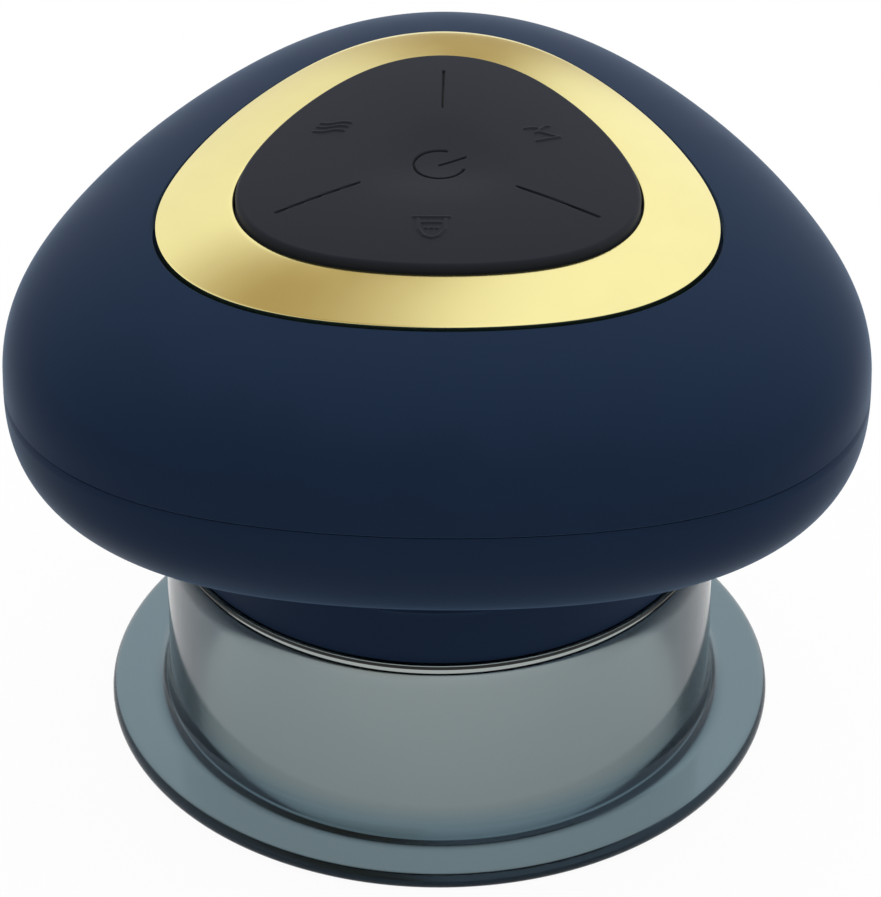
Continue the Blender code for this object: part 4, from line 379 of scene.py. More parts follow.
def box_grid(low, high, rounding, steps=5):
    """A box with its edges rounded: a sphere's directions, pushed out to the corners of the inner box."""
    low, high = np.array(low, float), np.array(high, float)
    tilt = np.concatenate([np.linspace(0, QUARTER, steps), np.linspace(QUARTER, math.pi, steps)])
    turn = np.concatenate([np.linspace(i * QUARTER, (i + 1) * QUARTER, steps) for i in range(4)])
    tilt, turn = np.meshgrid(tilt[1:-1], turn, indexing="ij")
    way = np.stack([np.sin(tilt) * np.cos(turn), np.sin(tilt) * np.sin(turn), np.cos(tilt)], -1)
    side = np.empty(way.shape)
    side[..., 0] = np.repeat([1, 0, 0, 1], steps)
    side[..., 1] = np.repeat([1, 1, 0, 0], steps)
    side[..., 2] = np.repeat([1, 0], steps - 1)[:, None]
    points = (low + rounding) + side * (high - low - 2 * rounding) + way * rounding
    rows, columns = tilt.shape
    ring = np.arange(columns)
    faces = [band(rows, columns), ring[None, ::-1], (ring + (rows - 1) * columns)[None]]
    return points.reshape(-1, 3), faces


def cut(obj, grids):
    """Cuts closed bodies from the piece, keeps the result as its mesh and clears the bodies away."""
    form = Form()
    for points, faces in grids:
        form.add(points, faces)
    tool = form.piece(f"{obj.name}_cutter", None, obj.data.materials[0].name, None)
    modifier = obj.modifiers.new("Cut", "BOOLEAN")
    modifier.operation = "DIFFERENCE"
    modifier.solver = "EXACT"
    modifier.object = tool
    graph = bpy.context.evaluated_depsgraph_get()
    mesh = bpy.data.meshes.new_from_object(obj.evaluated_get(graph))
    obj.modifiers.clear()
    obj.data = mesh
    bpy.data.objects.remove(tool)
    mesh.shade_smooth()
    mesh.set_sharp_from_angle(angle=math.radians(SHARP))
    return obj


# Materials


def feed(made, inputs):
    """Gives a node its inputs. Each has a name or a number, and a value or a socket to link."""
    for name, value in inputs.items():
        if isinstance(value, bpy.types.NodeSocket):
            made.id_data.links.new(value, made.inputs[name])
        else:
            made.inputs[name].default_value = value


def node(tree, kind, inputs, **settings):
    """Adds one node with its inputs and settings."""
    made = tree.nodes.new(kind)
    for name, value in settings.items():
        setattr(made, name, value)
    feed(made, inputs)
    return made


def new_material(name):
    """A material with its node tree and its shader."""
    material = bpy.data.materials.new(name)
    material.use_nodes = True
    tree = material.node_tree
    return material, tree, tree.nodes["Principled BSDF"]


def object_place(tree):
    return node(tree, "ShaderNodeTexCoord", {}).outputs["Object"]


def part_of(tree, vector, axis):
    return node(tree, "ShaderNodeSeparateXYZ", {0: vector}).outputs[axis]


def maths(tree, operation, *values):
    return node(tree, "ShaderNodeMath", dict(enumerate(values)), operation=operation).outputs[0]


def along(tree, way, axis):
    """How far a direction points along an axis."""
    return node(tree, "ShaderNodeVectorMath", {0: way, 1: axis}, operation="DOT_PRODUCT").outputs["Value"]


def mapped(tree, value, start, end, low=0.0, high=1.0, curve="LINEAR"):
    """Maps the stretch from start to end to the one from low to high."""
    inputs = {"Value": value, "From Min": start, "From Max": end, "To Min": low, "To Max": high}
    return node(tree, "ShaderNodeMapRange", inputs, interpolation_type=curve).outputs[0]


def grain(tree, size):
    """Noise whose blobs are about that many metres across, on object coordinates."""
    inputs = {"Vector": object_place(tree), "Scale": 1 / size, "Detail": 2.0}
    return node(tree, "ShaderNodeTexNoise", inputs).outputs[0]


def spread(tree, noise, low, high):
    """Maps a noise, which stays at about 0.3 to 0.7, to a range."""
    return mapped(tree, noise, 0.3, 0.7, low, high)


def mixed(tree, factor, first, second):
    """A colour between two, each given as a socket or as linear red, green and blue."""
    first, second = (end if isinstance(end, bpy.types.NodeSocket) else (*end, 1) for end in (first, second))
    # The colour mix has its two colours on sockets 6 and 7, and its result on output 2
    return node(tree, "ShaderNodeMix", {"Factor": factor, 6: first, 7: second}, data_type="RGBA").outputs[2]


def bump(tree, height, distance, strength):
    inputs = {"Height": height, "Distance": distance, "Strength": strength}
    return node(tree, "ShaderNodeBump", inputs).outputs[0]


def finish(name, code, metal, rough, vary, clouds, fine, strength, sockets=()):
    """A finish with cloudy colour, a varying roughness and a fine grain.

    code is a hex colour or linear values, rough the least and the most roughness, vary how much darker the
    clouds are, clouds and fine the widths of clouds and grain in millimetres, strength that of the grain.
    """
    material, tree, shader = new_material(name)
    base = np.array(linear(code) if isinstance(code, str) else code)
    cloudy = grain(tree, clouds * MM)
    feed(shader, {
        "Base Color": mixed(tree, spread(tree, cloudy, 0, 1), base * (1 - vary), base),
        "Roughness": spread(tree, cloudy, *rough),
        "Metallic": metal,
        "Normal": bump(tree, grain(tree, fine * MM), fine * MM / 4, strength),
        **dict(sockets),
    })
    return material


def sheen(weight, roughness, tint, gloss):
    """Inputs of a matt surface that brightens where it turns away, with little gloss of its own."""
    look = {"Sheen Weight": weight, "Sheen Roughness": roughness, "Sheen Tint": (*tint, 1)}
    return {**look, "Specular IOR Level": gloss}


def navy_soft_touch_paint(colours):
    """Rubberised paint on moulded ABS: matt and deep, with a faint blue bloom where it turns away."""
    bloom = sheen(0.26, 0.3, (0.4, 0.65, 1), 0.05)
    return finish("navy_soft_touch_paint", colours.shell, 0, (0.46, 0.52), 0.06, 9, 0.2, 0.06, bloom)


def plated_gold(colours):
    """Vacuum-plated ABS with a satin lacquer: smooth metal with soft-edged highlights."""
    return finish("plated_gold", colours.bezel, 1, (0.12, 0.15), 0.03, 6, 0.15, 0.02)


def moulded_charcoal_silicone(colours):
    """Moulded silicone rubber: dull, a little dusty, with painted shade darkening the engraved lines."""
    dust = sheen(0.12, 0.4, (0.85, 0.88, 1), 0.08)
    material = finish("moulded_charcoal_silicone", colours.keypad, 0, (0.55, 0.62), 0.08, 5, 0.12, 0.08, dust)
    tree = material.node_tree
    shader = tree.nodes["Principled BSDF"]
    base = shader.inputs["Base Color"].links[0].from_socket
    # Painted shade: the engraved lines are painted near black, darkest where they are deepest
    engraved = node(tree, "ShaderNodeAttribute", {}, attribute_name="engraved").outputs["Fac"]
    feed(shader, {"Base Color": mixed(tree, engraved, base, (0.008, 0.008, 0.009))})
    return material


def smoke_polycarbonate(colours):
    """Moulded clear polycarbonate with a grey-blue tint: pale through its wall, dark along its edges, its
    flange painted darker and bluer as painted shade.
    """
    material, tree, shader = new_material("smoke_polycarbonate")
    flange_top, wall_foot, per_metre = 3 * MM, 6 * MM, 700.0
    # Painted shade: the colour turns from the wall's to the darker, bluer flange's towards the foot
    up = mapped(tree, part_of(tree, object_place(tree), "Z"), flange_top, wall_foot, curve="SMOOTHSTEP")
    feed(shader, {
        "Base Color": mixed(tree, up, colours.flange, colours.cup),
        "Roughness": spread(tree, grain(tree, 8 * MM), 0.1, 0.13),
        "Transmission Weight": 1,
        "IOR": 1.56,
        "Specular Tint": (0.5, 0.75, 1, 1),
    })
    tint = {"Color": (*colours.smoke, 1), "Density": per_metre}
    absorb = node(tree, "ShaderNodeVolumeAbsorption", tint).outputs[0]
    feed(tree.nodes["Material Output"], {"Volume": absorb})
    return material


def frosted_diffuser():
    """Frosted polycarbonate: milky, with light that spreads inside it."""
    return finish("frosted_diffuser", "EAE6E4", 0, (0.4, 0.5), 0.03, 4, 0.1, 0.1, {"Subsurface Weight": 0.3})


def clear_silicone_hose():
    """Extruded silicone hose: pale and waxy."""
    milky = {"Subsurface Weight": 0.2}
    return finish("clear_silicone_hose", "D9DDDF", 0, (0.25, 0.35), 0.06, 2, 0.1, 0.1, milky)


def brushed_aluminium():
    """Turned and brushed aluminium: fine rings round the middle that stretch each highlight."""
    material, tree, shader = new_material("brushed_aluminium")
    ring_width = 0.25 * MM
    shift = {"Vector": object_place(tree), "Location": (0, -AXIS_Y, 0)}
    place = node(tree, "ShaderNodeMapping", shift).outputs[0]
    rings = {"Vector": place, "Scale": 0.5 / ring_width / FULL, "Distortion": 1.5, "Detail": 3.0}
    wave = node(tree, "ShaderNodeTexWave", rings, wave_type="RINGS", rings_direction="Z").outputs["Fac"]
    feed(shader, {
        "Base Color": mixed(tree, wave, linear("B4B8BD"), linear("D2D5D8")),
        "Roughness": mapped(tree, wave, 0, 1, 0.28, 0.4),
        "Metallic": 1,
        "Normal": bump(tree, wave, 0.02 * MM, 0.3),
    })
    return material


# Plain finishes: name, colour, metal or not, least and most roughness, how much darker the clouds are, the
# widths of clouds and grain in millimetres, the grain's strength, and the CAD nodes that take the finish
FINISHES = (
    # Moulded ABS, spark-eroded: an even, dull grain
    ("eroded_black_abs", "212329", 0, 0.42, 0.55, 0.15, 2, 0.1, 0.3,
     "motor_end_cap pump_housing pump_head valve_port temperature_sensor power_switch_button"
     " heat_switch_button scrape_switch_button suction_switch_button"),
    ("moulded_grey_abs", "8A8D91", 0, 0.4, 0.5, 0.1, 3, 0.12, 0.25,
     "chassis pump_rocker pump_valve_plate hose_tee"),
    # Solder mask over copper: glossy green, mottled by the tracks under it
    ("green_solder_mask", "1F5B3C", 0, 0.25, 0.4, 0.35, 1.2, 0.5, 0.3, "main_board led_board charge_board"),
    # Drawn and zinc-plated steel: pale metal with a cloudy sheen
    ("zinc_plated_steel", "B9BCC0", 1, 0.25, 0.4, 0.1, 2, 0.08, 0.15,
     "motor_can valve_frame valve_plunger valve_spring"),
    # Ground steel: finer and brighter
    ("ground_steel", "C6C8CB", 1, 0.15, 0.25, 0.05, 1, 0.05, 0.1, "motor_shaft pump_screw_1 pump_screw_2"),
    # Punched laminations: dark steel with a stacked grain
    ("laminated_iron", "6E7075", 1, 0.4, 0.55, 0.3, 0.5, 0.3, 0.4, "motor_armature"),
    # Sintered ferrite: dead matt, faintly speckled
    ("sintered_ferrite", "46464A", 0, 0.6, 0.75, 0.25, 0.4, 0.1, 0.4, "motor_magnet"),
    # Enamelled copper wire, wound: warm metal with a tight ripple
    ("enamelled_copper", "B5713C", 1, 0.25, 0.4, 0.25, 0.3, 0.15, 0.5, "valve_coil motor_commutator"),
    # Turned brass: yellow and even
    ("turned_brass", "C9A95A", 1, 0.2, 0.32, 0.1, 1, 0.08, 0.15, "pump_eccentric"),
    # Printed film wrap of the cell: smooth blue
    ("printed_cell_wrap", "3C6FA8", 0, 0.3, 0.4, 0.08, 6, 0.3, 0.1, "battery"),
    # Open-cell foam: dark pores
    ("open_cell_foam", "39393C", 0, 0.85, 0.95, 0.5, 0.5, 0.4, 1.0, "battery_pad"),
    # Moulded rubber: black and dull
    ("moulded_black_rubber", "15171B", 0, 0.55, 0.7, 0.2, 2, 0.1, 0.2, "pump_sleeve pump_diaphragm"),
    # Polyimide film over an etched heating track: amber, with darker bands
    ("polyimide_film", "B06A2C", 0, 0.3, 0.4, 0.4, 1.5, 0.6, 0.2, "heater_film"),
    # Insulated lead and flat cable: plain plastic, one red and one white
    ("red_pvc", "A32420", 0, 0.35, 0.45, 0.1, 2, 0.1, 0.1, "motor_lead"),
    ("white_pet_cable", "C3C5C8", 0, 0.35, 0.45, 0.15, 0.8, 0.4, 0.2, "ribbon_cable"),
    # Finishes of pieces made here. Moulded seal and plug: black, the seal darker
    ("moulded_black_silicone", "0B0C0F", 0, 0.4, 0.5, 0.1, 2, 0.1, 0.1, ""),
    ("moulded_black_abs", "1A1C21", 0, 0.35, 0.45, 0.12, 3, 0.12, 0.15, ""),
    # Zinc-plated screws, etched mesh and rolled shell: grey steel, the mesh the dullest
    ("black_zinc_steel", "8E9196", 1, 0.25, 0.35, 0.15, 1, 0.06, 0.15, ""),
    ("etched_steel_mesh", "9A9DA1", 1, 0.3, 0.45, 0.3, 0.5, 0.1, 0.3, ""),
    ("rolled_steel", "A9ACB1", 1, 0.22, 0.3, 0.06, 2, 0.08, 0.08, ""),
    # Gold flash on the contacts: thin and bright
    ("gold_flash", "D9B45A", 1, 0.2, 0.3, 0.05, 1, 0.05, 0.05, ""),
)


def finishes(colours):
    """Makes every material. The inner pieces, which keep their CAD meshes, get theirs here."""
    for make in (navy_soft_touch_paint, plated_gold, moulded_charcoal_silicone, smoke_polycarbonate):
        make(colours)
    frosted_diffuser()
    brushed_aluminium()
    for name, code, metal, least, most, vary, clouds, fine, strength, nodes in FINISHES:
        dress(finish(name, code, metal, (least, most), vary, clouds, fine, strength), nodes)
    dress(clear_silicone_hose(), "port_hose pump_hose valve_hose")


def dress(material, nodes):
    for name in nodes.split():
        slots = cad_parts[name].data.materials
        slots.clear()
        slots.append(material)


# Pieces of the head

# Rounding of the shells' edges at the groove, the parting line and the neck
SHELL_EDGE = 0.15 * MM
# How far the lower shell's tongue reaches up inside the top shell
TONGUE_RISE = 1.6 * MM
# Distance of the three posts with their screws from the cup's axis
POST_REACH = 34.5 * MM
# Material and slot of both shells
SHELL_LOOK = ("navy_soft_touch_paint", "navy_shell")


def top_shell(sizes):
    """The dome from the bezel's groove down to the parting line, closed by its tray and its inner face."""
    head, bezel = sizes.massager_head, sizes.massager_bezel
    tray_depth, tray_floor, bed_gap, bed_slope = 2.4 * MM, 1.6 * MM, 0.42 * MM, 0.3 * MM
    foot = head.equator + head.parting / 2
    groove = bezel.outer + head.groove
    tray = head.equator + head.dome_rise - tray_depth
    tray_foot = tray - tray_floor
    beds = [bezel_height(r, head, bezel) - bezel.thickness - bed_gap for r in (bezel.inner, bezel.outer)]

    start = math.acos(((groove + SHELL_EDGE) / head.radius) ** (head.dome_power / 2))
    radii = head.radius * np.cos(np.linspace(start, 0.0, DOME_STEPS)) ** (2 / head.dome_power)
    # The last points crowd together at the widest line
    crowded = 0.02 * MM
    radii = radii[radii < head.radius - crowded]
    dome = np.stack([radii, dome_height(radii, head)], 1)
    crest = dome[0, 1]
    lip = [[groove, crest - 2 * SHELL_EDGE], [groove + 0.3 * SHELL_EDGE, crest - 0.5 * SHELL_EDGE]]
    seat = [[0, tray], [bezel.inner, tray], [bezel.inner + bed_slope, beds[0]], [groove, beds[1]]]

    inner = head.radius - head.wall
    shut = [[head.radius, foot + SHELL_EDGE], [head.radius - SHELL_EDGE, foot], [inner, foot]]
    radii = np.linspace(inner - crowded / 2, groove + 1.5 * head.wall, CURVE_STEPS)
    inside = np.stack([radii, dome_height(radii, head, head.wall)], 1)
    closing = [[groove, beds[1] - head.wall], [bezel.inner - head.wall, tray_foot], [0, tray_foot]]
    section = np.concatenate([seat, lip, dome, shut, inside, closing])
    form = turned(section, steps=LOBE_STEPS, plan=above(head))
    return form.piece("top_shell_dome", "head", *SHELL_LOOK, ["top_shell"])


def circle_places(reach, turns):
    """Places on a circle round the cup's axis, as (x, y) from it."""
    return [(reach * math.cos(turn), reach * math.sin(turn)) for turn in turns]


def post_places():
    """The three posts lie between the lobes."""
    return circle_places(POST_REACH, THIRD / 2 + np.arange(3) * THIRD)


def lower_shell(sizes):
    """The bowl from the parting line in to the round neck, with its screw sinks and the charging window."""
    head = sizes.massager_head
    top, widest = head.equator - head.parting / 2, head.equator
    tongue_gap, tongue_wall, tongue_foot = 0.45 * MM, 0.8 * MM, 2 * MM
    tongue = head.radius - head.wall - tongue_gap
    neck_gap, blend, inner_blend, edge = 0.03 * MM, 0.8 * MM, 1.5 * MM, SHELL_EDGE / 4
    neck_foot = CUP_TOP + neck_gap

    # The drop runs from just under the widest line to just short of the bowl's floor, without the points
    # that come near the neck
    first, short, near_neck = 0.02, 0.002 * MM, 0.05 * MM
    drop = np.sin(np.linspace(first, 1, DOME_STEPS) * QUARTER) * (head.bowl_drop - short)
    bowl = np.stack([bowl_radius(widest - drop, head), widest - drop], 1)
    bowl = bowl[(bowl[:, 0] > head.neck + near_neck) & (bowl[:, 1] < top - SHELL_EDGE)]
    foot = bowl[-1, 1]
    shut = [[tongue, widest + TONGUE_RISE], [tongue, top], [head.radius - SHELL_EDGE, top]]
    neck = [[head.neck, foot - blend], [head.neck, neck_foot + edge], [head.neck - edge, neck_foot]]

    inner_neck = head.neck - head.wall
    inside = [[inner_neck, neck_foot], [inner_neck, foot + inner_blend]]
    over_floor, under_widest, near_inner_neck = 1.2 * MM, 4 * MM, 0.5 * MM
    lowest, highest = widest - head.bowl_drop + head.wall + over_floor, widest - under_widest
    heights = np.linspace(lowest, highest, CURVE_STEPS)
    curve = np.stack([bowl_radius(heights, head, head.wall), heights], 1)
    curve = curve[curve[:, 0] > inner_neck + near_inner_neck]
    tongue_back = tongue - tongue_wall
    closing = [[tongue_back, widest - tongue_foot], [tongue_back, widest + TONGUE_RISE]]
    section = np.concatenate([shut, bowl, neck, inside, curve, closing])
    form = turned(section, steps=LOBE_STEPS, plan=below(head))
    shell = form.piece("lower_shell_bowl", "head", *SHELL_LOOK, ["lower_shell"])

    sink, sink_top = 2.1 * MM, CUP_TOP + 13 * MM
    window_gap, window_rounding, front, behind = 0.25 * MM, 1.55 * MM, 3 * MM, 4 * MM
    section = [[0, CUP_TOP], [sink, CUP_TOP], [sink, sink_top], [0, sink_top]]
    sinks = [turned_grid(section, SMALL_STEPS, centre=place) for place in post_places()]
    low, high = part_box("usb_socket")
    gap = Vector((window_gap, 0, window_gap))
    window = rounded_slot(low - gap, high + gap, window_rounding, high.y - front, high.y + behind)
    return cut(shell, [*sinks, window])


def slot_outline(low, high, rounding):
    """A rounded rectangle in X and Z, as an array of points."""
    corners = [(low[0], low[2]), (high[0], low[2]), (high[0], high[2]), (low[0], high[2])]
    return rounded([(x, z, rounding) for x, z in corners], steps=9)


def slot_rings(rings):
    """Rings of (X and Z outline, y) in rows one behind another."""
    return np.concatenate([np.stack([ring[:, 0], np.full(len(ring), y), ring[:, 1]], 1) for ring, y in rings])


def rounded_slot(low, high, rounding, front, back):
    """A rounded rectangle carried along Y from front to back, closed at both ends."""
    outline = slot_outline(low, high, rounding)
    ring = np.arange(len(outline))
    faces = [band(2, len(ring)), ring[None], ring[None, ::-1] + len(ring)]
    return slot_rings([(outline, front), (outline, back)]), faces


def bezel_height(radius, head, bezel):
    """Dome height, plus a stand-off that falls from inner to outer edge, plus the crown 4 c s (1 - s)."""
    part = (radius - bezel.inner) / (bezel.outer - bezel.inner)
    proud = bezel.inner_proud * (1 - part) + bezel.outer_proud * part
    return dome_height(radius, head) + proud + bezel.crown * 4 * part * (1 - part)


def gold_bezel(sizes):
    """The lobed bezel: crowned face, rounded edges, plain underside."""
    head, bezel = sizes.massager_head, sizes.massager_bezel
    clear = 3 * bezel.rounding
    radii = np.linspace(bezel.inner + clear, bezel.outer - clear, CURVE_STEPS)
    face = [(r, bezel_height(r, head, bezel), 0) for r in radii]
    inner, outer = (bezel_height(r, head, bezel) for r in (bezel.inner, bezel.outer))
    feet = [(bezel.outer, outer - bezel.thickness, 0), (bezel.inner, inner - bezel.thickness, 0)]
    rims = (bezel.outer, outer, bezel.rounding), (bezel.inner, inner, bezel.rounding)
    form = turned(rounded([*face, rims[0], *feet, rims[1]]), steps=LOBE_STEPS, plan=above(head))
    return form.piece("gold_bezel", "head", "plated_gold", "gold_trim", ["trim_ring"])


# The keypad

# Where the power key ends, where the outer keys begin and end, and half the width of the ribs between them
POWER_EDGE = 7.35 * MM
BEAD_EDGE = 8.75 * MM
RIM_EDGE = 18.7 * MM
RIB_HALF = 1.05 * MM
# Rows of points across an outer key, which the frame's ribs beside it take too
KEY_ROWS = 100
# Material and slot of the frame and its keys, and the angle in degrees from which their edges are sharp
KEYPAD_LOOK = ("moulded_charcoal_silicone", "charcoal_silicone")
KEYPAD_SHARP = 50


def pad_height(radius, pad):
    """Height over the mean radius: a cosine dish, a parabola out to the edge, and the edge's elliptic arc."""
    slope_end = pad.radius - pad.edge
    dish = pad.dish * 0.5 * (1 + np.cos(math.pi * np.clip(radius / pad.dish_radius, 0, 1)))
    slope = pad.shoulder * np.clip((radius - pad.dish_radius) / (slope_end - pad.dish_radius), 0, 1) ** 2
    across = np.clip(radius - slope_end, 0, pad.edge) / pad.edge
    return PAD_CROWN - dish - slope - pad.shoulder * (1 - np.sqrt(1 - across**2))


def distance_to(points, drawn):
    """Least distance of each (x, y) point to drawn strokes, each a row of points joined by straight lines."""
    least = np.full(len(points), 1.0)
    for stroke in drawn:
        start, way = stroke[:-1], np.diff(stroke, axis=0)
        gap = points[:, None] - start[None]
        part = np.clip((gap * way).sum(-1) / np.maximum((way * way).sum(-1), HAIR**2), 0, 1)
        least = np.minimum(least, np.linalg.norm(gap - part[..., None] * way, axis=-1).min(1))
    return least


def arc_stroke(centre, radius, first, last, steps):
    """An arc of a circle, from one turn to another in degrees."""
    turn = np.radians(np.linspace(first, last, steps))
    return np.stack([centre[0] + radius * np.cos(turn), centre[1] + radius * np.sin(turn)], 1)


def strokes(*rows):
    """Rows of (x, y) points in millimetres, as arrays in metres."""
    return [np.array(row) * MM for row in rows]


def divider_strokes():
    """The three lines between the keys, along the ribs."""
    return strokes([(0.05, 10.6), (0, 18.3)], [(-8.15, -4.15), (-16.5, -9.55)], [(8.1, -4.5), (16.5, -9.55)])


def power_strokes():
    """A broken ring and a bar out through its gap, turned to the right."""
    return [arc_stroke((0, 0), 2.68 * MM, 75, 341, 48), *strokes([(0, 0), (2.65, 1.4)])]


def heat_strokes():
    """Three level waves one over another, each set a little to the left of the one above."""
    along_wave = np.linspace(-1, 1, 40)
    wave = np.stack([1.55 * along_wave, 0.16 * np.sin(along_wave * math.pi)], 1)
    return [(wave + centre) * MM for centre in ((-11.0, 7.45), (-11.35, 6.7), (-11.7, 5.85))]


def scrape_strokes():
    """An arrow head with two short lines behind it, for the moving suction."""
    bar, hook = [(8.75, 6.65), (9.4, 6.85), (10.05, 6.85)], [(9.9, 5.9), (10.75, 7.2), (11.25, 7.35)]
    return strokes(bar, hook, [(10.2, 6.1), (12.4, 5.25), (10.05, 4.3)])


def cup_strokes():
    """A small cup under its lid line, with a fill line and three bubbles."""
    lid, fill = [(-2.4, -10.5), (1.3, -10.45)], [(-1.45, -11.5), (0.4, -11.45)]
    left = [(-1.9, -10.9), (-1.8, -12.7), (-1.25, -13.75), (-0.5, -14.1)]
    right = [(0.25, -13.75), (0.8, -12.7), (0.9, -10.85)]
    bubbles = [arc_stroke((x * MM, -12.45 * MM), 0.05 * MM, 0, 360, 8) for x in (-1.05, -0.5, 0.05)]
    return [*strokes(lid, fill, left + right), *bubbles]


def stroke_share(xy, drawn, width, flat):
    """One in the middle of drawn strokes, over the flat share of half their width, and zero beside them."""
    half = width / 2
    return smooth(1 - (distance_to(xy, drawn) - half * flat) / half)


def pad_plan(radius, turn, head, inner, outer):
    """Circles inside the inner radius grow into the lobed plan at the outer one."""
    return radius * (1 + (lobing(turn, head) - 1) * smooth((radius - inner) / (outer - inner)))


def pad_skin(reach, turn, head, pad, engraved=(), raised=()):
    """Points of the cushion's top at a reach and a turn, with strokes sunk into it and others raised.

    The second result is how deep in a stroke each point lies, from 0 to 1; the silicone darkens it as painted
    shade.
    """
    xy = np.stack([reach * np.cos(turn), reach * np.sin(turn)], -1).reshape(-1, 2)
    height = pad_height((reach / lobing(turn, head)).ravel(), pad)
    depth = np.zeros(len(xy))
    if len(engraved):
        depth = stroke_share(xy, engraved, pad.stroke, 0.5)
    if len(raised):
        height = height + stroke_share(xy, raised, pad.symbol, 0.4) * pad.relief
    return np.column_stack([xy[:, 0], xy[:, 1] + AXIS_Y, height - depth * pad.depth]), depth


def power_key(head, pad):
    """The round key: a polar grid with the power symbol sunk into its dish. Its last point is its middle."""
    rows, columns = 83, 320
    radii = np.linspace(0, POWER_EDGE, rows + 1)[1:]
    turn = np.arange(columns) * FULL / columns
    radius, turn = np.meshgrid(radii, turn, indexing="ij")
    radius, turn = np.append(radius, 0), np.append(turn, 0)
    top, depth = pad_skin(radius, turn, head, pad, engraved=power_strokes())
    ring = np.arange(columns)
    faces = [band(rows, columns), fan(rows * columns, ring)]
    return key_form("power", top, depth, faces, ring + (rows - 1) * columns)


def sector_key(name, middle, marks, head, pad):
    """One outer key: rows run from the power key's bead to the rim, columns between the ribs.

    At radius R a column's turn is middle + u (60 degrees - asin(rib half / R)), with u from -1 to 1.
    """
    columns = 230
    radii = np.linspace(BEAD_EDGE, RIM_EDGE, KEY_ROWS)
    radius, across = np.meshgrid(radii, np.linspace(-1, 1, columns), indexing="ij")
    turn = middle + across * THIRD / 2
    reach = pad_plan(radius, turn, head, BEAD_EDGE, RIM_EDGE)
    turn = middle + across * (THIRD / 2 - np.arcsin(RIB_HALF / reach))
    reach = pad_plan(radius, turn, head, BEAD_EDGE, RIM_EDGE)
    top, depth = pad_skin(reach, turn, head, pad, raised=marks)
    grid = np.arange(KEY_ROWS * columns).reshape(KEY_ROWS, columns)
    edge = np.concatenate([grid[0, :-1], grid[:-1, -1], grid[-1, :0:-1], grid[:0:-1, 0]])[::-1]
    return key_form(name, top, depth, [band(KEY_ROWS, columns, closed_columns=False)], edge)


def key_form(name, top, depth, faces, edge):
    """Closes a key's top with walls down from its edge and a flat foot, and adds the stem over its switch."""
    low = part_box(f"{name}_key")[0].z
    skirt, stem_radius, stem_run, stem_edge = 2.6 * MM, 1.6 * MM, 0.5 * MM, 0.2 * MM
    foot = low + skirt
    wall = top[edge] * [1, 1, 0] + [0, 0, foot]
    bottom = np.arange(len(edge)) + len(top)
    walls = np.stack([edge, bottom, np.roll(bottom, -1), np.roll(edge, -1)], 1)
    values = np.concatenate([depth, np.zeros(len(edge))])
    form = Form().add(np.concatenate([top, wall]), [*faces, walls, bottom[None, ::-1]], values)
    near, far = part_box(f"{name}_switch_button")
    centre = ((near.x + far.x) / 2, (near.y + far.y) / 2 - AXIS_Y)
    stem_top = foot + stem_run
    stem = rounded([(0, low, 0), (stem_radius, low, stem_edge), (stem_radius, stem_top, 0), (0, stem_top, 0)])
    form.add(*turned_grid(stem, SMALL_STEPS, centre=centre))
    return form.piece(f"{name}_key_cap", f"{name}_button", *KEYPAD_LOOK, [f"{name}_key"], KEYPAD_SHARP)


def keypad_frame(head, pad):
    """What is left of the cushion round its keys: bead, three ribs and rim, the dividers sunk into the ribs.

    Each third of the grid has its rib's columns first and its key's after them. A key's place has no faces.
    """
    ribs, keys = 20, 60
    across_rib = np.tile(np.append(np.linspace(-1, 1, ribs + 1)[:-1], np.full(keys, 1.0)), 3)
    across_key = np.tile(np.append(np.zeros(ribs), np.linspace(0, 1, keys + 1)[:-1]), 3)
    rib = BACK + np.repeat(np.arange(3), ribs + keys) * THIRD
    arc = np.linspace(0, QUARTER, 14)[1:]
    side = pad.radius - pad.edge
    bead = np.linspace(POWER_EDGE, BEAD_EDGE, 12)
    keys_rows = np.linspace(BEAD_EDGE, RIM_EDGE, KEY_ROWS)[1:]
    rim = np.linspace(RIM_EDGE, side, 10)[1:]
    radii = np.concatenate([bead, keys_rows, rim, side + pad.edge * np.sin(arc)])

    columns = len(rib)
    radius = np.repeat(radii[:, None], columns, 1)
    reach = pad_plan(radius, rib + across_key * THIRD, head, BEAD_EDGE, RIM_EDGE)
    half = np.arcsin(RIB_HALF / reach)
    turn = rib + across_rib * half + across_key * (THIRD - 2 * half)
    reach = pad_plan(radius, turn, head, BEAD_EDGE, RIM_EDGE)
    top, depth = pad_skin(reach, turn, head, pad, engraved=divider_strokes())

    quads = band(len(radii), columns)
    row, column = quads[:, 0] // columns, quads[:, 0] % columns
    in_rib = (column % (ribs + keys)) < ribs
    keep = in_rib | (radii[row] < BEAD_EDGE - HAIR) | (radii[row] > RIM_EDGE - HAIR)
    body = slab(top, quads[keep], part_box("keypad_frame")[0].z)
    form = Form().add(*body, np.concatenate([depth, np.zeros(len(depth))]))
    return form.piece("keypad_skin", "head", *KEYPAD_LOOK, ["keypad_frame"], KEYPAD_SHARP)


def slab(top, quads, foot):
    """Closes a patch of quads with the same patch at the foot, turned over, and walls at its free edges."""
    count = len(top)
    bottom = top * [1, 1, 0] + [0, 0, foot]
    edges = np.concatenate([quads[:, [i, (i + 1) % 4]] for i in range(4)])
    key = np.sort(edges, 1)
    _, first, times = np.unique(key[:, 0] * count + key[:, 1], return_index=True, return_counts=True)
    rim = edges[first[times == 1]]
    wall = np.stack([rim[:, 1], rim[:, 0], rim[:, 0] + count, rim[:, 1] + count], 1)
    return np.concatenate([top, bottom]), [quads, quads[:, ::-1] + count, wall]


def keypad(sizes):
    """The frame and its four keys."""
    head, pad = sizes.massager_head, sizes.massager_keypad
    keypad_frame(head, pad)
    power_key(head, pad)
    sector_key("heat", BACK + THIRD / 2, heat_strokes(), head, pad)
    sector_key("scrape", BACK - THIRD / 2, scrape_strokes(), head, pad)
    sector_key("suction", -BACK, cup_strokes(), head, pad)


# The cup and the base over it

# How far the bead round the cup's rim stands back from the wall
BEAD_INSET = 0.15 * MM
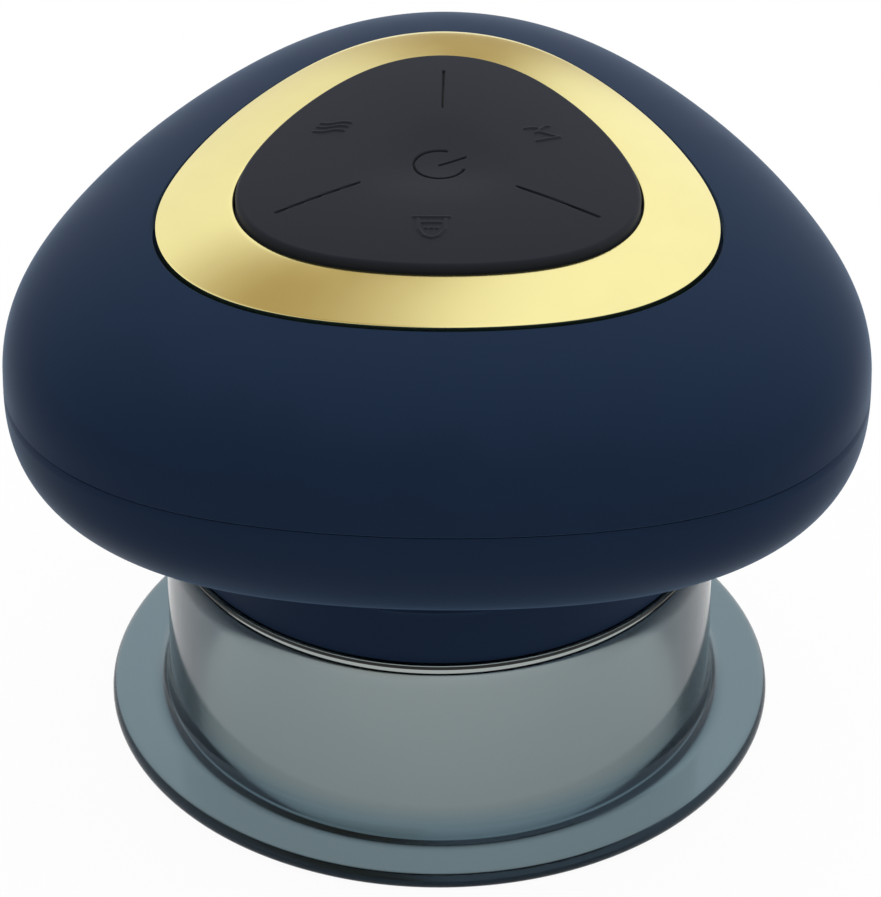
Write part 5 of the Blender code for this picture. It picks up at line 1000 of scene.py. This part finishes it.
# Rounding of the bead's upper outer edge, which the gasket leaves bare
BEAD_ROUNDING = 0.12 * MM


def clear_cup(sizes):
    """Beaded rim, groove, rounded shoulder, straight wall, flared foot and a flat flange.

    It is turned round the axis. Shoulder and foot are quarter ellipses, the flange's lip is a half circle.
    """
    cup = sizes.massager_cup
    inner, neck, rim = cup.radius - cup.wall, cup.radius - cup.neck, cup.radius - BEAD_INSET
    under, groove, slope = cup.height - cup.bead, 0.95 * MM, 0.2 * MM
    foot = under - groove
    bead = rounded([(inner, cup.height, 0.2 * MM), (rim, cup.height, BEAD_ROUNDING), (rim, under, 0.05 * MM),
                    (neck, under - slope, 0.1 * MM), (neck, foot, 0)])
    turn = np.linspace(0, QUARTER, 16)
    shoulder = [neck + cup.neck * np.sin(turn[1:]), foot - cup.shoulder * (1 - np.cos(turn[1:]))]
    flare_top = cup.flange_thickness + cup.flare_rise
    flare = [cup.radius + cup.flare * (1 - np.cos(turn)), flare_top - cup.flare_rise * np.sin(turn)]
    turn = np.linspace(QUARTER, -QUARTER, 20)
    edge = cup.flange_thickness / 2
    lip = [cup.flange - edge + edge * np.cos(turn), edge + edge * np.sin(turn)]
    mouth = rounded([(cup.flange, 0, 0), (inner, 0, 0.35 * MM), (inner, 4 * MM, 0)])[1:]
    form = turned(np.concatenate([bead, *(np.transpose(curve) for curve in (shoulder, flare, lip)), mouth]))
    return form.piece("clear_cup", "cup", "smoke_polycarbonate", "smoke_clear", ["cup"], 30)


def rim_gasket(sizes):
    """A thin black ring round the cup's bead."""
    cup = sizes.massager_cup
    rim, slack = cup.radius - BEAD_INSET, 0.02 * MM
    inside, outside = rim + slack, rim + cup.gasket
    foot, top = cup.height - cup.bead, cup.height - BEAD_ROUNDING
    ring = rounded([(inside, top, 0), (outside, top, slack), (outside, foot, slack), (inside, foot, 0)])
    return turned(ring).piece("rim_gasket", "cup", "moulded_black_silicone", "black_seal")


# The suction port in the base, as (x, y) from the cup's axis
PORT_PLACE = circle_places(22.3 * MM, [math.radians(-35)])[0]


def base_screw_places():
    """The base's screws keep clear of the port and of the parts over the plate."""
    return circle_places(22.5 * MM, np.radians([85, 215, 290]))


def stepped_sink(wide, wide_top, narrow, narrow_top):
    """A section of two steps over the base's face, in millimetres, that starts well under it."""
    start = -2
    return over(BASE_FACE, (0, start, 0), (wide, start, 0), (wide, wide_top, 0), (narrow, wide_top, 0),
                (narrow, narrow_top, 0), (0, narrow_top, 0))


def base_plug():
    """The plug over the cup: a groove for the seal, a seat for the light ring, a skirt, and the port's pipe.

    Sinks for the three screws and the port's pocket are cut into it.
    """
    rim, edge = BASE_RADIUS / MM, 0.15
    groove, groove_foot, groove_top = rim - 1.2, 0.4, 1.6
    seat, seat_top = 19.6, 1.7
    ledge, ledge_top = rim - 5.1, 3.9
    skirt, skirt_top = rim - 1.5, 5.7
    form = turned(over(
        BASE_FACE, (rim, skirt_top, edge), (rim, groove_top, edge), (groove, groove_top, 0),
        (groove, groove_foot, 0), (rim, groove_foot, edge), (rim, 0, edge), (seat, 0, edge),
        (seat, seat_top, 0), (ledge, seat_top, 0), (ledge, ledge_top, 0), (skirt, ledge_top, 0),
        (skirt, skirt_top, edge), steps=4
    ))
    bore, pipe, collar, collar_foot, collar_top, pipe_top = 0.7, 1.4, 1.9, 1.4, 5.4, 9
    tube = over(BASE_FACE, (bore, pipe_top, 0), (pipe, pipe_top, 0), (pipe, collar_top, 0),
                (collar, collar_top, 0), (collar, collar_foot, 0), (bore, collar_foot, 0))
    form.add(*turned_grid(tube, SMALL_STEPS, centre=PORT_PLACE))
    plug = form.piece("base_plug", "head", "moulded_black_abs", "black_abs", ["base_plate"])

    sink = stepped_sink(2.1, 1.5, 1.2, 6)
    port = stepped_sink(2.2, 0.7, bore, 3)
    sinks = [turned_grid(sink, SMALL_STEPS, centre=place) for place in base_screw_places()]
    return cut(plug, [*sinks, turned_grid(port, SMALL_STEPS, centre=PORT_PLACE)])


def soft_seal():
    """The ring that seals the plug in the cup, its outer edges rounded."""
    low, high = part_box("cup_seal")
    outer, rounding = (high.x - low.x) / 2, 0.25 * MM
    inner = outer - 1.4 * MM
    outside = [(outer, high.z, rounding), (outer, low.z, rounding)]
    form = turned(rounded([*outside, (inner, low.z, 0), (inner, high.z, 0)]))
    return form.piece("soft_seal", "head", "moulded_black_silicone", "black_seal", ["cup_seal"])


def frosted_light_ring():
    """The flat ring that the lamps shine through, with a flange behind the plug and a step for the heater."""
    outer, inner, flange, step = 19.3, 14.4, 20.2, 15.2
    form = turned(over(
        BASE_FACE, (flange, 2.6, 0), (flange, 2.0, 0), (outer, 2.0, 0), (outer, 0, 0.25), (inner, 0, 0.2),
        (inner, 1.4, 0), (step, 1.4, 0), (step, 2.6, 0)
    ))
    return form.piece("frosted_light_ring", "head", "frosted_diffuser", "diffuser", ["light_ring"])


def heater_disc():
    """The metal disc in the middle, with a rounded face edge and a thin flange behind the light ring."""
    radius, flange, flange_foot, flange_top = 14.1, 14.9, 1.7, 2.3
    form = turned(over(
        BASE_FACE, (0, flange_top, 0), (flange, flange_top, 0.1), (flange, flange_foot, 0.1),
        (radius, flange_foot, 0), (radius, 0, 0.25), (0, 0, 0)
    ))
    return form.piece("heater_disc", "head", "brushed_aluminium", "heater_metal", ["heater_plate"])


def cross_screw(name, place, foot, tip):
    """A screw seen from below: domed head with a cross recess, and its shank up to the tip.

    The head's face rises by the recess's depth where |x| or |y| is under the slot's half width and both are
    under its half length. Its dome follows (r / radius) ^ 4.
    """
    radius, head, dome = 1.8 * MM, 1.2 * MM, 0.25 * MM
    shank, point, taper = 0.9 * MM, 0.3 * MM, 0.6 * MM
    half_width, half_length, recess = 0.24 * MM, 1.1 * MM, 0.7 * MM
    # The recess's walls slope over a quarter of its half width, and its floor rises outwards by this share
    slope, shallower = 0.25, 0.4
    seat = foot + head
    radii = np.linspace(0, radius, 22)
    face = np.stack([radii, foot + dome * (radii / radius) ** 4], 1)
    body = [[radius, seat], [shank, seat], [shank, tip - taper], [point, tip], [0, tip]]
    points, faces = turned_grid(np.concatenate([face, body]), 2 * SMALL_STEPS, centre=place)
    x = points[:, 0] - place[0]
    y = points[:, 1] - place[1] - AXIS_Y
    arms = [np.maximum(abs(a) / half_width, abs(b) / half_length) for a, b in ((x, y), (y, x))]
    inside = smooth((1 + slope - np.minimum(*arms)) / slope)
    sunk = inside * recess * (1 - shallower * np.hypot(x, y) / radius)
    points[:, 2] += np.where(points[:, 2] < seat - HAIR, sunk, 0)
    form = Form().add(points, faces)
    return form.piece(f"{name}_cross", "head", "black_zinc_steel", "steel", [name], 35)


def fasteners():
    """Three shell screws up in the bowl's sinks, and three in the base plate."""
    for kind, places in (("shell_screw", post_places()), ("base_screw", base_screw_places())):
        for i, place in enumerate(places):
            low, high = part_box(f"{kind}_{i + 1}")
            cross_screw(f"{kind}_{i + 1}", place, low.z, high.z)


def port_mesh():
    """The filter in the suction port: a thin steel disc with a honeycomb of six-sided holes cut through it.

    Hole (i, j) lies at pitch (i + j / 2) in x and pitch j sin 60 in y, as long as it clears the rim.
    """
    low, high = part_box("port_filter")
    centre = ((low.x + high.x) / 2, (low.y + high.y) / 2 - AXIS_Y)
    radius, pitch, hole, edge, reach = (high.x - low.x) / 2, 0.56 * MM, 0.19 * MM, 0.1 * MM, 4
    disc = rounded([(0, high.z, 0), (radius, high.z, edge), (radius, low.z, edge), (0, low.z, 0)])
    form = turned(disc, steps=SMALL_STEPS, centre=centre)
    mesh = form.piece("port_mesh", "head", "etched_steel_mesh", "steel", ["port_filter"])
    foot, top = low.z - hole, high.z + hole
    i, j = np.meshgrid(np.arange(-reach, reach + 1), np.arange(-reach, reach + 1))
    places = np.stack([(i + j / 2) * pitch, j * math.sin(THIRD) * pitch], -1).reshape(-1, 2)
    places = places[np.linalg.norm(places, axis=1) < radius - 2 * hole] + centre
    through = [[0, foot], [hole, foot], [hole, top], [0, top]]
    return cut(mesh, [turned_grid(through, 6, centre=place) for place in places])


def socket_shell():
    """The charging socket's shell, rolled and open to the back."""
    low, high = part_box("usb_socket")
    rounding, wall, lip_depth, lip_share, back_wall = 1.4 * MM, 0.35 * MM, 0.1 * MM, 0.01, 0.8 * MM
    inset = Vector((wall, 0, wall))
    outer = slot_outline(low, high, rounding)
    inner = slot_outline(low + inset, high - inset, rounding - wall)
    lip = outer * (1 - lip_share) + inner * lip_share
    mouth, bottom = high.y, low.y + back_wall
    rings = [(outer, low.y), (outer, mouth - lip_depth), (lip, mouth), (inner, mouth), (inner, bottom)]
    ring = np.arange(len(outer))
    faces = [band(len(rings), len(ring)), ring[None], ring[None, ::-1] + (len(rings) - 1) * len(ring)]
    form = Form().add(slot_rings(rings), faces)
    return form.piece("socket_shell", "head", "rolled_steel", "steel", ["usb_socket"])


def socket_tongue():
    """The tongue in the socket."""
    form = Form().add(*box_grid(*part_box("usb_tongue"), 0.15 * MM))
    return form.piece("socket_tongue", "head", "moulded_black_abs", "black_abs", ["usb_tongue"])


def socket_contacts():
    """Gold contacts in a row on both faces of the tongue."""
    low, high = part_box("usb_tongue")
    count, pitch, setback = 12, 0.5 * MM, 1.8 * MM
    half = Vector((0.13, 1.5, 0.04)) * MM
    form = Form()
    for level in (high.z, low.z):
        for x in (np.arange(count) - (count - 1) / 2) * pitch:
            centre = Vector((float(x), high.y - setback, level))
            form.add(*box_grid(centre - half, centre + half, 0.03 * MM))
    return form.piece("socket_contacts", "head", "gold_flash", "brass")


# The studio


def ray(tree, kind):
    """One for the rays of a kind, zero for the others."""
    return node(tree, "ShaderNodeLightPath", {}).outputs[kind]


def seen_ray(tree):
    """One for the rays that see the background itself: from the camera, straight or through the clear cup."""
    return maths(tree, "MAXIMUM", ray(tree, "Is Camera Ray"), ray(tree, "Is Transmission Ray"))


def white_paper(studio):
    """Matt white paper. Part of its white is a glow for the eye, so that the shadow on it stays faint.

    In reflections it is darker in front of the object than behind it, and from below it is clear.
    """
    material, tree, shader = new_material("white_paper_sweep")
    front, behind = -50 * MM, -12 * MM
    seen = seen_ray(tree)
    paper = mixed(tree, seen, [studio.bounce] * 3, [0.95] * 3)
    feed(shader, {"Base Color": paper, "Roughness": 0.9, "Specular IOR Level": 0})
    depth = part_of(tree, object_place(tree), "Y")
    lightness = mapped(tree, depth, front, behind, studio.front, 1.0, "SMOOTHSTEP")
    mirrored = maths(tree, "MULTIPLY", lightness, ray(tree, "Is Glossy Ray"))
    part = maths(tree, "MULTIPLY", maths(tree, "MAXIMUM", seen, mirrored), studio.glow)
    glow = node(tree, "ShaderNodeEmission", {"Color": (1, 1, 1, 1), "Strength": 1.0}).outputs[0]
    both = node(tree, "ShaderNodeMixShader", {0: part, 1: shader.outputs[0], 2: glow}).outputs[0]
    under = node(tree, "ShaderNodeNewGeometry", {}).outputs["Backfacing"]
    clear = node(tree, "ShaderNodeBsdfTransparent", {}).outputs[0]
    sheet = node(tree, "ShaderNodeMixShader", {0: under, 1: both, 2: clear}).outputs[0]
    feed(tree.nodes["Material Output"], {"Surface": sheet})
    return material


def white_floor(studio):
    """A flat sheet a hair under the cup, six metres wide."""
    reach, level = 3.0, -0.02 * MM
    mesh = bpy.data.meshes.new("floor")
    corners = [(x * reach, y * reach, level) for x, y in ((-1, -1), (1, -1), (1, 1), (-1, 1))]
    mesh.from_pydata(corners, [], [(0, 1, 2, 3)])
    mesh.materials.append(white_paper(studio))
    floor = bpy.data.objects.new("floor", mesh)
    bpy.context.scene.collection.objects.link(floor)


# How dark the light tent is, from 0 to 1, at turns in degrees round the direction that a level bezel mirrors
TENT = (
    # The gap at the back, low down
    (-180, 0.14), (-131, 0.17), (-117, 0.25), (-108, 0.46), (-101, 0.8), (-92, 1), (-83, 0.96), (-76, 0.68),
    (-72, 0.35), (-65, 0),
    # The gap high up to the left
    (84, 0), (90, 0.22), (96, 0.62), (101, 0.88), (108, 1), (117, 1), (126, 0.88), (141, 0.58), (164, 0.22),
    (180, 0.14),
)


def tent(tree, way, studio):
    """How dark the light tent is round the direction that a level bezel mirrors to the camera.

    The turn round that direction, atan2(rise, side), runs through a curve with one gap at the back, low down,
    and one high up to the left. Near the direction itself the curve fades out.
    """
    tilt, aside = studio.elevation, 0.02
    inner, outer = math.radians(5), math.radians(11)
    rise = along(tree, way, (0, -math.sin(tilt), math.cos(tilt)))
    turn = maths(tree, "ARCTAN2", rise, part_of(tree, way, "X"))
    curve = node(tree, "ShaderNodeValToRGB", {0: mapped(tree, turn, -math.pi, math.pi)})
    ramp = curve.color_ramp.elements
    places = [(degrees + 180) / 360 for degrees, dark in TENT]
    for place in places[1:-1]:
        ramp.new(place)
    for stop, place, (degrees, dark) in zip(ramp, places, TENT):
        stop.position = place
        stop.color = (dark, dark, dark, 1)
    ahead = along(tree, way, (aside, math.cos(tilt), math.sin(tilt)))
    away = mapped(tree, ahead, math.cos(inner), math.cos(outer), curve="SMOOTHSTEP")
    return maths(tree, "MULTIPLY", curve.outputs[0], away)


def soft_sky(studio):
    """White to the eye. On dull surfaces it shines more from behind and above: 1 + tilt . direction.

    What glosses mirror is a light tent, white with two soft gaps.
    """
    world = bpy.data.worlds.new("soft_sky")
    bpy.context.scene.world = world
    world.use_nodes = True
    tree = world.node_tree
    way = node(tree, "ShaderNodeTexCoord", {}).outputs["Generated"]
    tilt = (0.26, 0.75, 0.3)
    light = maths(tree, "MULTIPLY_ADD", along(tree, way, tilt), studio.sky, studio.sky)
    glossy = ray(tree, "Is Glossy Ray")
    dark = maths(tree, "MULTIPLY", tent(tree, way, studio), glossy)
    plain = maths(tree, "MAXIMUM", seen_ray(tree), glossy)
    strength = node(tree, "ShaderNodeMix", {"Factor": plain, "A": light, "B": 1.0}).outputs[0]
    feed(tree.nodes["Background"], {"Color": mixed(tree, dark, (1, 1, 1), studio.gap), "Strength": strength})


def overhead_lamp(studio, aim):
    """A wide soft lamp, a little behind the object, that shows in no reflection."""
    lamp = bpy.data.lights.new("overhead_lamp", "AREA")
    lamp.shape = "DISK"
    lamp.size = studio.lamp
    lamp.energy = 1.0
    holder = bpy.data.objects.new("overhead_lamp", lamp)
    holder.location = (0.1, 0.15, 0.9)
    holder.rotation_euler = (aim - holder.location).to_track_quat("-Z", "Y").to_euler()
    holder.visible_glossy = False
    holder.visible_camera = False
    bpy.context.scene.collection.objects.link(holder)


def photo_camera(studio, aim):
    """The camera at the photograph's angle: elevation over the floor, azimuth to the right of the front."""
    camera = bpy.data.cameras.new("camera")
    camera.sensor_fit = "HORIZONTAL"
    camera.lens = studio.lens
    camera.clip_start = 0.01
    camera.clip_end = 20
    holder = bpy.data.objects.new("camera", camera)
    bpy.context.scene.collection.objects.link(holder)
    bpy.context.scene.camera = holder
    right = Vector((math.cos(studio.azimuth), math.sin(studio.azimuth), 0))
    out = Vector((math.sin(studio.azimuth), -math.cos(studio.azimuth), 0))
    back = out * math.cos(studio.elevation) + Vector((0, 0, math.sin(studio.elevation)))
    holder.location = aim + right * studio.aside + back * studio.distance
    holder.rotation_euler = (-back).to_track_quat("-Z", "Y").to_euler()


def stage(studio):
    """White floor, soft sky, a soft lamp overhead and the camera."""
    bpy.context.scene.view_settings.view_transform = "Standard"
    aim = Vector((0, AXIS_Y, studio.target))
    white_floor(studio)
    soft_sky(studio)
    overhead_lamp(studio, aim)
    photo_camera(studio, aim)


# Add-on


class MASSAGER_OT_finishes(bpy.types.Operator):
    """Make the finishes and put them on the inner pieces"""

    bl_idname = "massager.finishes"
    bl_label = "Finishes"

    def execute(self, context):
        finishes(context.scene.massager_colours)
        return {"FINISHED"}


class MASSAGER_OT_shells(bpy.types.Operator):
    """Build the domed top shell and the bowl under it"""

    bl_idname = "massager.shells"
    bl_label = "Shells"

    def execute(self, context):
        top_shell(context.scene)
        lower_shell(context.scene)
        return {"FINISHED"}


class MASSAGER_OT_bezel(bpy.types.Operator):
    """Build the gold bezel"""

    bl_idname = "massager.bezel"
    bl_label = "Bezel"

    def execute(self, context):
        gold_bezel(context.scene)
        return {"FINISHED"}


class MASSAGER_OT_keypad(bpy.types.Operator):
    """Build the keypad and its four keys"""

    bl_idname = "massager.keypad"
    bl_label = "Keypad"

    def execute(self, context):
        keypad(context.scene)
        return {"FINISHED"}


class MASSAGER_OT_cup(bpy.types.Operator):
    """Build the clear cup and the gasket round its rim"""

    bl_idname = "massager.cup"
    bl_label = "Cup"

    def execute(self, context):
        clear_cup(context.scene)
        rim_gasket(context.scene)
        return {"FINISHED"}


class MASSAGER_OT_base(bpy.types.Operator):
    """Build the base over the cup: plate, seal, light ring, heater and filter"""

    bl_idname = "massager.base"
    bl_label = "Base"

    def execute(self, context):
        for build in (base_plug, soft_seal, frosted_light_ring, heater_disc, port_mesh):
            build()
        return {"FINISHED"}


class MASSAGER_OT_fasteners(bpy.types.Operator):
    """Build the screws that show from below"""

    bl_idname = "massager.fasteners"
    bl_label = "Screws"

    def execute(self, context):
        fasteners()
        return {"FINISHED"}


class MASSAGER_OT_socket(bpy.types.Operator):
    """Build the charging socket at the back"""

    bl_idname = "massager.socket"
    bl_label = "Charging socket"

    def execute(self, context):
        for build in (socket_shell, socket_tongue, socket_contacts):
            build()
        return {"FINISHED"}


class MASSAGER_OT_stage(bpy.types.Operator):
    """Set up the floor, the light and the camera"""

    bl_idname = "massager.stage"
    bl_label = "Stage"

    def execute(self, context):
        stage(context.scene.massager_studio)
        return {"FINISHED"}


STEPS = ("finishes", "shells", "bezel", "keypad", "cup", "base", "fasteners", "socket", "stage")
GROUPS = {
    "massager_head": HeadSizes,
    "massager_bezel": BezelSizes,
    "massager_keypad": KeypadSizes,
    "massager_cup": CupSizes,
    "massager_colours": Colours,
    "massager_studio": Studio,
}


class MASSAGER_PT_panel(bpy.types.Panel):
    """Lists the sizes, the colours and a button for each group of pieces"""

    bl_label = "Cupping massager"
    bl_space_type = "VIEW_3D"
    bl_region_type = "UI"
    bl_category = "Massager"

    def draw(self, context):
        for name, group in GROUPS.items():
            column = self.layout.box().column()
            for field in group.__annotations__:
                column.prop(getattr(context.scene, name), field)
        for step in STEPS:
            self.layout.operator(f"massager.{step}")


CLASSES = (
    *GROUPS.values(),
    MASSAGER_OT_finishes,
    MASSAGER_OT_shells,
    MASSAGER_OT_bezel,
    MASSAGER_OT_keypad,
    MASSAGER_OT_cup,
    MASSAGER_OT_base,
    MASSAGER_OT_fasteners,
    MASSAGER_OT_socket,
    MASSAGER_OT_stage,
    MASSAGER_PT_panel,
)


def register():
    for cls in CLASSES:
        bpy.utils.register_class(cls)
    for name, group in GROUPS.items():
        setattr(bpy.types.Scene, name, bpy.props.PointerProperty(type=group))


def unregister():
    for name in GROUPS:
        delattr(bpy.types.Scene, name)
    for cls in reversed(CLASSES):
        bpy.utils.unregister_class(cls)


def main():
    register()
    for step in STEPS:
        getattr(bpy.ops.massager, step)()


if __name__ == "__main__":
    main()
